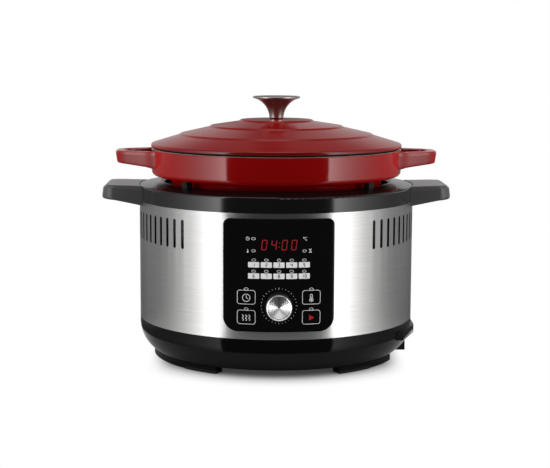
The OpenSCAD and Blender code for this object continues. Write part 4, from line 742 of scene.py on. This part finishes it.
class COOKER_OT_pot(CookerOperator):
    """Build the enamelled pot with its two loop handles"""
    bl_idname = "cooker.pot"
    bl_label = "Pot"

    def execute(self, context):
        looks = context.scene.cooker_pot
        low, rim = POT_LOW.z, POT_HIGH.z
        lip = rim - looks.rim_h
        lip_r = looks.band_r - looks.rim_inset
        inner = looks.band_r - looks.wall
        well = looks.body_r - looks.wall
        step = looks.shoulder + looks.wall
        profile = outlined([
            (0, low + looks.recess_h, 0), (looks.recess_r, low + looks.recess_h, 0.8 * MM),
            (looks.recess_r, low, 1.0 * MM), (looks.body_r, low, looks.corner),
            (looks.body_r, looks.shoulder, 4.0 * MM), (looks.band_r, looks.shoulder, 5.0 * MM),
            (looks.band_r, lip, 0.5 * MM), (lip_r, lip, 0.2 * MM), (lip_r, rim, 0.3 * MM),
            (inner, rim, 0.8 * MM), (inner, step, 5.0 * MM), (well, step, 3.0 * MM),
            (well, low + looks.floor, looks.corner - looks.wall), (0, low + looks.floor, 0),
        ], steps=9)
        parts = [lathe(profile, ROUND_SEGMENTS)] + [self.loop(looks, side) for side in (1, -1)]
        closed_piece("pot_casting", joined(parts), pot_enamel(looks), "pot", "pot")
        return {"FINISHED"}

    def loop(self, looks, side):
        """A rounded bar with drafted sides along a U, which thins to its tip and swells into the band.

        Point (i, j) is the path's point i, moved along the path's normal by the section's width there and
        down from the loop's top by the section's height there.
        """
        buried, swell_reach, swell_side, swell_lift = 9 * MM, 7 * MM, 2.0 * MM, 0.8 * MM
        under, edge = 0.66, 0.2
        lean = tan(looks.loop_taper)
        half = looks.loop_w / 2 - looks.loop_bar / 2 / cos(looks.loop_taper)
        tip = POT_HIGH.x - looks.loop_bar / 2
        root = looks.band_r - buried
        tip_y = half - (tip - looks.band_r) * lean
        root_y = half + buried * lean
        bend = looks.loop_corner - looks.loop_bar / 2
        curve = rounded([(root, -root_y), (tip, -tip_y), (tip, tip_y), (root, root_y)], bend, steps=14)
        leg = np.linspace(curve[0], curve[1], 16)[:-1]
        path = np.concatenate([leg, curve[1:-1], (leg * np.array([1, -1]))[::-1]])
        along = unit(np.gradient(path, axis=0))
        normal = stacked(-along[:, 1], along[:, 0])
        out = np.clip((path[:, 0] - looks.band_r) / (POT_HIGH.x - looks.band_r), 0, 1)
        thick = looks.loop_root + (looks.loop_tip - looks.loop_root) * out
        from_band = np.hypot(path[:, 0], path[:, 1]) - looks.band_r
        swell = np.clip(1 - from_band / swell_reach, 0, 1) ** 2
        rising = [(under + (1 - under) * level, level - 1, 0) for level in (0.25, 0.5, 0.75)]
        falling = [(-x, z, 0) for x, z, _ in rising[::-1]]
        section = outlined([(-under, -1, edge), (under, -1, edge), *rising, (1, 0, edge), (-1, 0, edge),
                            *falling], steps=6, closed=True)
        across = section[None, :, 0] * (0.5 * looks.loop_bar + swell_side * swell)[:, None]
        down = section[None, :, 1] * (thick + swell_side * swell)[:, None] + (swell_lift * swell)[:, None]
        return capped(stacked(side * (path[:, None, 0] + normal[:, None, 0] * across),
                              path[:, None, 1] + normal[:, None, 1] * across,
                              POT_HIGH.z - looks.loop_drop + down))


class COOKER_OT_lid(CookerOperator):
    """Build the stepped lid"""
    bl_idname = "cooker.lid"
    bl_label = "Lid"

    def execute(self, context):
        looks = context.scene.cooker_lid
        edge = looks.seat + looks.edge_h
        rows = [(looks.radius, looks.seat, 0.8 * MM), (looks.radius, edge - 0.6 * MM, 2.2 * MM)]
        level = edge
        for count, rise in ((2, looks.rise_outer), (1, looks.rise_middle), (0, looks.rise_inner)):
            radius = looks.step_r + count * looks.step_w
            level += rise
            rows.append((radius + looks.step_run, level, 1.0 * MM))
            level += looks.step_h
            rows.append((radius, level, 1.2 * MM))
        collar_in = looks.collar_r - looks.collar_t
        under = [(r, z - looks.wall, 1.5 * MM) for r, z, _ in rows[:1:-1] if r < collar_in - 4 * MM]
        rows += [(looks.hole_r, LID_HIGH.z, 0.3 * MM), (looks.hole_r, LID_HIGH.z - looks.wall, 0.3 * MM),
                 *under,
                 (collar_in, edge - looks.wall + 1.2 * MM, 2.0 * MM), (collar_in, LID_LOW.z, 0.8 * MM),
                 (looks.collar_r, LID_LOW.z, 0.8 * MM), (looks.collar_r, looks.seat, 0.5 * MM)]
        profile = outlined(rows, closed=True)
        material = lid_enamel(context.scene.cooker_pot, looks.collar_r)
        surface = lathe(np.concatenate([profile, profile[:1]]), ROUND_SEGMENTS)
        closed_piece("lid_casting", surface, material, "lid", "lid")
        return {"FINISHED"}


class COOKER_OT_knob(CookerOperator):
    """Build the flared knob"""
    bl_idname = "cooker.knob"
    bl_label = "Knob"

    def execute(self, context):
        looks = context.scene.cooker_lid
        foot_round, crown_drop, crown_w = 0.8 * MM, 0.5 * MM, 8 * MM
        low, high = KNOB_LOW.z, KNOB_HIGH.z
        neck = looks.knob_neck
        half = looks.knob_rim / 2
        wide = looks.knob_r - half - neck
        tall = high - looks.knob_rim - low
        bow = (wide ** 2 + tall ** 2) / (2 * wide)
        turn = np.linspace(pi, pi - asin(tall / bow), 24)
        flare = stacked(neck + bow + bow * np.cos(turn), low + bow * np.sin(turn))
        rim = np.linspace(-pi / 2, pi / 2, 9)
        lip = stacked(looks.knob_r - half + half * np.cos(rim), high - half + half * np.sin(rim))
        foot = np.array([(0, low), (neck - foot_round, low), (neck, low + foot_round)])
        crown = np.array([(looks.knob_r - crown_w / 2, high - crown_drop / 2),
                          (looks.knob_r - crown_w, high - crown_drop), (0, high - crown_drop)])
        profile = np.concatenate([foot, flare[1:-1], lip, crown])
        material = turned_metal("knob_steel", (0.56, 0.52, 0.50), 0.32, 0.35 * MM, 0.002 * MM)
        surface = lathe(profile, SMALL_SEGMENTS)
        closed_piece("knob_turning", surface, material, "lid", "lid_knob")
        return {"FINISHED"}


class COOKER_OT_grips(CookerOperator):
    """Build the two grips of the base"""
    bl_idname = "cooker.grips"
    bl_label = "Grips"

    def execute(self, context):
        looks = context.scene.cooker_base
        material = moulded("handle_plastic", looks.grip, 0.38, 2200.0, 0.012 * MM, gloss=0.6, sheen=0.8)
        for name, side in (("right", 1), ("left", -1)):
            surface = self.grip(looks, side)
            closed_piece(f"{name}_grip", surface, material, "base", f"{name}_handle")
        return {"FINISHED"}

    def plan(self, looks, inset):
        """A grip from above, drawn in by an inset: slanted sides, a round tip, and the ring's arc behind."""
        root, seat_gap = 138 * MM, 0.1 * MM
        side_share, taper_share, corner_share = 0.45, 0.8, 0.8
        tip = GRIP_HIGH.x - inset
        half = looks.grip_tip_w / 2 - side_share * inset
        wide = half + (tip - root) * tan(looks.grip_taper) * taper_share
        corner = looks.grip_corner - corner_share * inset
        rows = [(root, -wide, 0), (tip, -half, corner), (tip, half, corner), (root, wide, 0)]
        outer = outlined(rows, steps=12)
        seat = looks.ring_r + seat_gap
        edge = outer[[0, -1], 1]
        outer[[0, -1], 0] = np.sqrt(seat ** 2 - edge ** 2)
        y = np.linspace(edge[1], edge[0], 16)[1:-1]
        return np.concatenate([outer, stacked(np.sqrt(seat ** 2 - y ** 2), y)])

    def grip(self, looks, side):
        """Outlines stacked from the underside to the top: row i is the plan at the section's inset i, and its
        height lies between the underside and the top, which both change with the distance from the ring."""
        section_h = 20
        even_rise, root_rise, root_reach, root_curve = 0.45, 0.55, 1 / 3, 1.5
        section = outlined([(14, 0, 0), (0.6, 0, 1.6), (0, 4, 2.0), (1.2, 15.5, 2.0), (4.6, section_h, 1.6),
                            (14, section_h, 0)], steps=5) * np.array([MM, 1 / section_h])
        plans = np.stack([self.plan(looks, inset) for inset in section[:, 0]])
        out = np.clip((plans[..., 0] - looks.ring_r) / (GRIP_HIGH.x - looks.ring_r), 0, 1)
        top = looks.ring_top + (GRIP_HIGH.z - looks.ring_top) * out
        root_low = looks.ring_top - looks.grip_root_t
        rise = GRIP_HIGH.z - looks.grip_tip_t - root_low
        near_root = np.clip(out / root_reach, 0, 1) ** root_curve
        low = root_low + rise * (even_rise * out + root_rise * near_root)
        height = low + section[:, 1][:, None] * (top - low)
        return capped(stacked(side * plans[..., 0], plans[..., 1], height))


class COOKER_OT_spring(CookerOperator):
    """Build the sensor's spring"""
    bl_idname = "cooker.spring"
    bl_label = "Spring"

    def execute(self, context):
        looks = context.scene.cooker_base
        low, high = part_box("sensor_spring")
        steel = worked_metal("spring_steel", (0.50, 0.50, 0.49), 0.3, 900.0, 0.004 * MM)
        surface = self.coil(looks, low, high)
        piece = closed_piece("sensor_coil", surface, steel, "base", "sensor_spring")
        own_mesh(piece)
        return {"FINISHED"}

    def coil(self, looks, low, high):
        """A round wire along a helix: its middle is (r cos a, r sin a, z), where z grows with the turn a, and
        point (i, j) lies a wire's radius from it, at the angle j between outwards and across."""
        turn_steps, wire_sides = 24, 10
        wire = looks.spring_wire / 2
        turn = np.linspace(0, 2 * pi * looks.spring_turns, turn_steps * looks.spring_turns + 1)
        rise = np.linspace(low.z + wire, high.z - wire, len(turn))
        out = stacked(np.cos(turn), np.sin(turn), 0 * turn)
        middle = (high.x - wire) * out + stacked(0 * turn, 0 * turn, rise)
        across = np.cross(unit(np.gradient(middle, axis=0)), out)
        around = circle(wire_sides)[None, :, None]
        offset = np.cos(around) * out[:, None] + np.sin(around) * across[:, None]
        return capped(middle[:, None] + wire * offset)


class COOKER_OT_dial(CookerOperator):
    """Build the turned dial and its pointer"""
    bl_idname = "cooker.dial"
    bl_label = "Dial"

    def execute(self, context):
        looks = context.scene.cooker_base
        radius = (DIAL_HIGH.x - DIAL_LOW.x) / 2
        deep = DIAL_HIGH.y - DIAL_LOW.y
        face = radius - looks.dial_bevel - looks.dial_rim
        dish = deep - looks.dial_dish
        profile = outlined([
            (0, 0, 0), (radius, 0, 0.4 * MM), (radius, deep - looks.dial_bevel, 0.3 * MM),
            (radius - looks.dial_bevel, deep, 0.3 * MM), (face, deep, 0.1 * MM),
            (face - looks.dial_dish, dish, 0.1 * MM), (0, dish, 0),
        ], steps=5)
        points, faces = lathe(profile, SMALL_SEGMENTS)
        x, z, y = points.T
        points = stacked(x + DIAL_MIDDLE.x, DIAL_HIGH.y - y, z + DIAL_MIDDLE.z)
        material = dial_metal("dial_aluminium", (0.88, 0.88, 0.88))
        closed_piece("dial_turning", (points, faces), material, "dial", "dial")
        level = DIAL_LOW.y + looks.dial_dish - PRINT_LIFT
        ends = [(DIAL_MIDDLE.x, DIAL_MIDDLE.z + face - drop) for drop in (3.6 * MM, 0.6 * MM)]
        ink = printed_ink("pointer_ink", (0.02, 0.02, 0.02))
        printed_piece("dial_pointer", [stroke(ends, 1.0 * MM)], ink, "dial",
                      wrap=lambda flat: stacked(flat[:, 0], np.full(len(flat), level), flat[:, 1]))
        return {"FINISHED"}


class COOKER_OT_prints(CookerOperator):
    """Print the display, the program boxes, the key frames and the marks on the panel"""
    bl_idname = "cooker.prints"
    bl_label = "Prints"

    def execute(self, context):
        looks = context.scene.cooker_prints
        # Painted light: the pale ink and the white program boxes are given a faint glow.
        ink = printed_ink("panel_ink", looks.ink, 0.1)
        paper = printed_ink("panel_paper", looks.paper, 0.15)
        dark = printed_ink("panel_dark_ink", (0.01, 0.01, 0.01))
        lit = lit_ink("panel_lit", looks.lit)
        self.display(looks, lit)
        self.programs(looks, ink, paper, dark)
        self.status(ink)
        self.ticks(looks, ink)
        self.keys(looks, ink, lit)
        return {"FINISHED"}

    def display(self, looks, lit):
        """Four lit numerals and a colon."""
        parts = []
        for value, x in zip((0, 4, 0, 0), DIGIT_PLACES):
            parts += digit(value, (x * MM, DISPLAY_Z), looks.digit_w, looks.digit_h, 0.8 * MM, DIGIT_SLANT)
        for rise in (-COLON_RISE, COLON_RISE):
            dot = (COLON_X + DIGIT_SLANT * rise, DISPLAY_Z + rise)
            parts.append(filled(oval(dot, COLON_D, COLON_D, 12)))
        printed_piece("panel_digits", parts, lit, "base")

    def programs(self, looks, ink, paper, dark):
        """Two rows of five white boxes, each with its number, under an oval ring round its light."""
        boxes, rings, numbers = [], [], []
        for row, z in enumerate(PROGRAM_ROWS):
            for column in range(PROGRAM_COLUMNS):
                centre = np.array([(column - 2) * PROGRAM_STEP, z]) * MM
                boxes.append(filled(frame_line(centre, looks.box_w, looks.box_h, 0.7 * MM)))
                rings.append(light_ring(centre + np.array([0, PROGRAM_LIGHT_RISE]), 3.7, 2.3))
                text = str(row * PROGRAM_COLUMNS + column + 1)
                for k, character in enumerate(text):
                    place = centre + np.array([(k - (len(text) - 1) / 2) * NUMBER_STEP, 0])
                    numbers += digit(int(character), place, 2.2 * MM, 3.6 * MM, 0.7 * MM)
        printed_piece("panel_program_boxes", boxes, paper, "base")
        printed_piece("panel_light_rings", rings, ink, "base")
        printed_piece("panel_program_numbers", numbers, dark, "base",
                      wrap=lambda flat: on_panel(flat, 2 * PRINT_LIFT))

    def status(self, ink):
        """Small marks beside the display: a clock, a thermometer, an hourglass and a degree sign."""
        side, degree, row = 30.6, 25.6, 6

        def at(points, x, z):
            """Points in millimetres about a mark's middle, which is placed from the display's middle."""
            return (np.asarray(points, float) + np.array([x, z])) * MM + np.array([0, DISPLAY_Z])

        arc = np.linspace(radians(50), radians(310), 16)
        sign = stacked(1.0 + 1.2 * np.cos(arc), 1.5 * np.sin(arc))
        glass = [(-1.2, 1.6), (1.2, 1.6), (-1.2, -1.6), (1.2, -1.6)]
        lights = ((-25, row), (-25, -row), (25, -row))
        printed_piece("panel_status_marks", [
            *(light_ring(at((0, 0), x, z), 3.8, 2.4) for x, z in lights),
            stroke(at(oval((0, 0), 3.4, 3.4, 20), -side, row), THIN_LINE, True),
            stroke(at([(0, 1.1), (0, 0), (0.9, -0.3)], -side, row), THIN_LINE),
            stroke(at([(0, -0.6), (0, 1.7)], -side, -row), 0.7 * MM),
            filled(at(oval((0, -1.1), 1.7, 1.7, 16), -side, -row)),
            stroke(at(glass, side, -row), THIN_LINE, True),
            stroke(at(oval((-1.4, 1.0), 1.1, 1.1, 14), degree, row), THIN_LINE, True),
            stroke(at(sign, degree, row), THIN_LINE),
        ], ink, "base")

    def ticks(self, looks, ink):
        """Short bars round the dial, every fourth one longer."""
        centre = np.array([DIAL_MIDDLE.x, DIAL_MIDDLE.z])
        parts = []
        for k in range(looks.tick_count):
            turn = 2 * pi * k / looks.tick_count
            way = np.array([sin(turn), cos(turn)])
            half = (0.7 if k % 4 == 0 else 0.4) * MM
            ends = [centre + (looks.tick_r + shift) * way for shift in (-half, half)]
            parts.append(stroke(ends, 0.3 * MM))
        printed_piece("panel_dial_ticks", parts, ink, "base")

    def keys(self, looks, ink, lit):
        """A frame and a mark on each key, and on the bridge above it the frame's line and a light's ring."""
        for name in KEYS:
            low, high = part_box(name)
            centre = np.array([(low.x + high.x) / 2, (low.z + high.z) / 2])
            outline = frame_line(centre, looks.frame_w, looks.frame_h, 2.3 * MM)
            border = stroke(self.opened(outline, centre, looks.frame_gap), looks.line)
            printed_piece(f"{name}_frame", [border], ink, name)
            ring = light_ring(centre + np.array([0, looks.frame_h / 2 + KEY_LIGHT_RISE]), 3.9, 2.3)
            ends = np.array([(-KEY_BRIDGE, looks.frame_h / 2), (KEY_BRIDGE, looks.frame_h / 2)])
            printed_piece(f"{name}_light_ring", [ring, stroke(centre + ends, looks.line)], ink, "base")
            tone = lit if name == "lower_right_key" else ink
            printed_piece(f"{name}_mark", self.mark(name, centre), tone, name)

    def opened(self, outline, centre, gap):
        """A closed outline cut open at its top: it runs from one side of the gap round to the other."""
        top = outline[:, 1].max()
        line = outline[(np.abs(outline[:, 0] - centre[0]) >= gap) | (outline[:, 1] <= centre[1])]
        turn = np.arctan2(line[:, 0] - centre[0], line[:, 1] - centre[1]) % (2 * pi)
        return np.concatenate([[(centre[0] + gap, top)], line[np.argsort(turn)], [(centre[0] - gap, top)]])

    def mark(self, name, centre):
        """The mark on a key, in millimetres about its middle: clock, warm waves, thermometer or start."""
        def at(points):
            return centre + np.asarray(points, float) * MM

        if name == "upper_left_key":
            return [stroke(at(oval((0, -0.6), 7.4, 7.4, 32)), KEY_LINE, True),
                    stroke(at([(0, 1.8), (0, -0.6), (1.9, -1.5)]), KEY_LINE)]
        if name == "lower_left_key":
            z = np.linspace(-3.6, 2.4, 24)
            waves = [stacked(x + 0.7 * np.sin(z * 1.9), z) for x in (-3.2, 0.0, 3.2)]
            return [stroke(at(wave), KEY_LINE) for wave in waves]
        if name == "upper_right_key":
            bulb = np.linspace(radians(125), radians(415), 28)
            tube = stacked(1.75 * np.cos(bulb), -2.6 + 1.75 * np.sin(bulb))
            cap = np.linspace(0, pi, 12)
            top = stacked(1.0 * np.cos(cap), 2.0 + 1.0 * np.sin(cap))
            return [stroke(at(np.concatenate([tube, top])), KEY_LINE, True),
                    filled(at(oval((0, -2.6), 1.9, 1.9, 18))), stroke(at([(0, -2.6), (0, 0.6)]), KEY_LINE)]
        return [filled(at(rounded([(-2.2, -3.4), (3.2, -0.5), (-2.2, 2.4)], 0.4, steps=4, closed=True)))]


class COOKER_OT_finishes(CookerOperator):
    """Give every solid that stays its procedural finish"""
    bl_idname = "cooker.finishes"
    bl_label = "Finishes"

    def execute(self, context):
        base = context.scene.cooker_base
        black = tuple(base.black)
        # Plastics: tone, roughness, grain cells to the metre, grain depth in millimetres and gloss
        plastics = {
            "foot_plastic": (black, 0.5, 500.0, 0.004, 0.03),
            "foot_rubber": ((0.005, 0.005, 0.005), 0.6, 1500.0, 0.02, 0.2),
            "ring_plastic": (black, 0.13, 500.0, 0.004, 0.5),
            "rest_pad_rubber": ((0.02, 0.02, 0.02), 0.7, 1500.0, 0.02, 0.2),
            "housing_plastic": ((0.008, 0.008, 0.0085), 0.5, 1400.0, 0.01, 0.06),
            "panel_plastic": (tuple(0.45 * part for part in black), 0.05, 300.0, 0.0008, 0.5),
            "light_plastic": ((0.02, 0.02, 0.02), 0.2, 900.0, 0.002, 0.5),
            "display_plastic": ((0.012, 0.006, 0.006), 0.2, 900.0, 0.002, 0.5),
            "board_laminate": ((0.02, 0.10, 0.035), 0.4, 1800.0, 0.006, 0.5),
            "lead_rubber": ((0.30, 0.29, 0.27), 0.55, 1600.0, 0.01, 0.5),
        }
        # Metals: tone, roughness, marks to the metre and their depth in millimetres
        metals = {
            "element_steel": ((0.30, 0.29, 0.27), 0.5, 700.0, 0.01),
            "sensor_steel": ((0.60, 0.60, 0.59), 0.25, 600.0, 0.003),
            "screw_steel": ((0.50, 0.50, 0.49), 0.3, 900.0, 0.004),
            "contact_brass": ((0.62, 0.42, 0.14), 0.3, 700.0, 0.004),
        }
        shell_low, shell_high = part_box("bottom_shell")
        finishes = {
            "shell_plastic": bowl_plastic("shell_plastic", black, shell_low.z, shell_high.z),
            "wall_steel": brushed_steel("wall_steel", base.steel),
            "liner_steel": turned_metal("liner_steel", (0.30, 0.30, 0.29), 0.42, 0.8 * MM, 0.003 * MM),
            "plate_aluminium": turned_metal("plate_aluminium", (0.62, 0.62, 0.62), 0.4, 0.6 * MM, 0.01 * MM),
        }
        for slot, (tone, roughness, cells, depth, gloss) in plastics.items():
            finishes[slot] = moulded(slot, tone, roughness, cells, depth * MM, gloss)
        for slot, (tone, roughness, cells, depth) in metals.items():
            finishes[slot] = worked_metal(slot, tone, roughness, cells, depth * MM)
        # These slots have only solids that a piece of the scene stands for
        stood_for = ("pot_enamel", "lid_enamel", "knob_steel", "handle_plastic", "dial_aluminium")
        for part in frame["record"]["subparts"]:
            slot = "foot_plastic" if part["node"].endswith("_foot") else part["material_slot"]
            if slot in stood_for:
                continue
            materials = frame["nodes"][part["node"]].data.materials
            materials.clear()
            materials.append(finishes[slot])
        return {"FINISHED"}


class COOKER_OT_stage(CookerOperator):
    """Set the floor, the studio light and the camera"""
    bl_idname = "cooker.stage"
    bl_label = "Stage"

    def execute(self, context):
        looks = context.scene.cooker_stage
        self.floor(looks)
        self.world(context, looks)
        self.camera(context, looks)
        context.scene.view_settings.view_transform = "Standard"
        return {"FINISHED"}

    def floor(self, looks):
        """A white disc: rings of points about the origin. It glows to the camera, less where occlusion covers
        it: a painted shadow, narrowed at the sides.
        """
        ring_count, segments, cover_reach, darkest = 12, 96, 50 * MM, 0.96
        rings = np.linspace(0, looks.floor_r, ring_count)
        points, faces = lathe(stacked(rings, 0 * rings), segments)
        shade = new_shade("floor_white")
        x, y, _ = shade.axes(shade.place())
        rim = shade.ease(shade.radius(x, y), 0.8 * looks.floor_r, 0.98 * looks.floor_r)
        open_sky = shade.node("ShaderNodeAmbientOcclusion", {"samples": 16}, {"Distance": cover_reach},
                              output="AO")
        # Painted shadow: occlusion darkens the floor's glow near the object, and less towards the sides.
        side = shade.ease(shade.maths("ABSOLUTE", x), 108 * MM, 138 * MM)
        painted_shadow = (1.0 - shade.ease(open_sky, 0.0, 0.9)) * (1.0 - side)
        level = 1.0 - darkest * painted_shadow * (1.0 - rim)
        glow = shade.node("ShaderNodeEmission", sockets={"Color": (1, 1, 1, 1), "Strength": level})
        paper = shade.node("ShaderNodeBsdfDiffuse", sockets={"Color": (0.75, 0.75, 0.75, 1)})
        seen = shade.larger(*shade.seen())
        mixed = shade.node("ShaderNodeMixShader", sockets={0: seen, 1: paper, 2: glow})
        shade.node("ShaderNodeOutputMaterial", sockets={"Surface": mixed})
        mesh = merged_mesh("floor", (points, faces[:, ::-1]), outward=False)
        linked("floor", mesh, shade.owner)

    def world(self, context, looks):
        """Two tall softboxes beside the camera, brightest at their inner edges, in a dark room with a dim
        wall behind. The camera sees plain white, and so do mirror images of the backdrop it looks at."""
        shade = Shade(bpy.data.worlds.new("studio"))
        context.scene.world = shade.owner

        def ramp(value, start, end):
            """A smooth step between two angles in degrees."""
            return shade.ease(value, radians(start), radians(end))

        x, y, z = shade.axes(shade.node("ShaderNodeTexCoord", output="Generated"))
        turn = shade.maths("ARCTAN2", shade.maths("ABSOLUTE", x), 0.0 - y)
        height = shade.maths("ARCSINE", z)
        edge = radians(0.6)
        inner = shade.ease(turn, looks.box_inner - edge, looks.box_inner + edge)
        fade = shade.maths("EXPONENT", (looks.box_inner - turn) / looks.box_fade)
        lower = looks.box_low + (1.0 - looks.box_low) * ramp(height, -22, -11)
        box = looks.box_light * inner * fade * (1.0 - ramp(height, 38, 60)) * lower
        above = looks.overhead * ramp(height, 58, 84)
        wall = looks.rear * ramp(turn, 105, 135) * ramp(height, -10, 6)
        wall = wall * (1.0 - 0.7 * ramp(height, 18, 36)) * (1.0 - 0.7 * ramp(turn, 175.3, 178.3))
        studio = looks.room + box + above + wall
        light = shade.node("ShaderNodeBackground", sockets={"Color": (1, 1, 1, 1), "Strength": studio})
        white = shade.node("ShaderNodeBackground", sockets={"Color": (1, 1, 1, 1), "Strength": 1.0})
        straight, mirrored = shade.seen()
        behind = ramp(turn, 160, 176) * ramp(height, -26, -12) * (1.0 - ramp(height, -5, 2))
        seen = shade.larger(straight, mirrored * behind)
        mixed = shade.node("ShaderNodeMixShader", sockets={0: seen, 1: light, 2: white})
        shade.node("ShaderNodeOutputWorld", sockets={"Surface": mixed})

    def camera(self, context, looks):
        """A long lens at the photograph's angle, aimed by its heading, pitch and roll."""
        data = bpy.data.cameras.new("camera")
        data.lens = looks.lens
        data.sensor_width = 36.0
        data.sensor_fit = "HORIZONTAL"
        camera = bpy.data.objects.new("camera", data)
        pitch, turn, roll = looks.camera_pitch, looks.camera_turn, looks.camera_roll
        ahead = Vector((sin(turn) * cos(pitch), cos(turn) * cos(pitch), -sin(pitch)))
        level = ahead.cross(Vector((0, 0, 1))).normalized()
        upright = level.cross(ahead)
        right = level * cos(roll) + upright * sin(roll)
        up = upright * cos(roll) - level * sin(roll)
        turned = Matrix((right, up, -ahead)).transposed().to_4x4()
        camera.matrix_world = Matrix.Translation((looks.camera_x, looks.camera_y, looks.camera_z)) @ turned
        context.scene.collection.objects.link(camera)
        context.scene.camera = camera


class COOKER_PT_build(bpy.types.Panel):
    """Lists the steps that build the cooker"""
    bl_label = "Cooker"
    bl_idname = "COOKER_PT_build"
    bl_space_type = "VIEW_3D"
    bl_region_type = "UI"
    bl_category = "Cooker"

    def draw(self, context):
        for operator in OPERATORS:
            self.layout.operator(operator.bl_idname)


GROUPS = {"cooker_pot": CookerPot, "cooker_lid": CookerLid, "cooker_base": CookerBase,
          "cooker_prints": CookerPrints, "cooker_stage": CookerStage}
OPERATORS = (COOKER_OT_stage, COOKER_OT_finishes, COOKER_OT_pot, COOKER_OT_lid, COOKER_OT_knob,
             COOKER_OT_grips, COOKER_OT_spring, COOKER_OT_dial, COOKER_OT_prints)


def register():
    """Registers the classes and hangs the settings on the scene."""
    for group in (*GROUPS.values(), *OPERATORS, COOKER_PT_build):
        bpy.utils.register_class(group)
    for name, group in GROUPS.items():
        setattr(bpy.types.Scene, name, PointerProperty(type=group))


def unregister():
    """Takes the settings and the classes away again."""
    for name in GROUPS:
        delattr(bpy.types.Scene, name)
    for group in (COOKER_PT_build, *reversed(OPERATORS), *reversed(list(GROUPS.values()))):
        bpy.utils.unregister_class(group)


def main():
    """Builds everything in order."""
    register()
    bpy.ops.cooker.stage()
    bpy.ops.cooker.finishes()
    bpy.ops.cooker.pot()
    bpy.ops.cooker.lid()
    bpy.ops.cooker.knob()
    bpy.ops.cooker.grips()
    bpy.ops.cooker.spring()
    bpy.ops.cooker.dial()
    bpy.ops.cooker.prints()


if __name__ == "__main__":
    main()
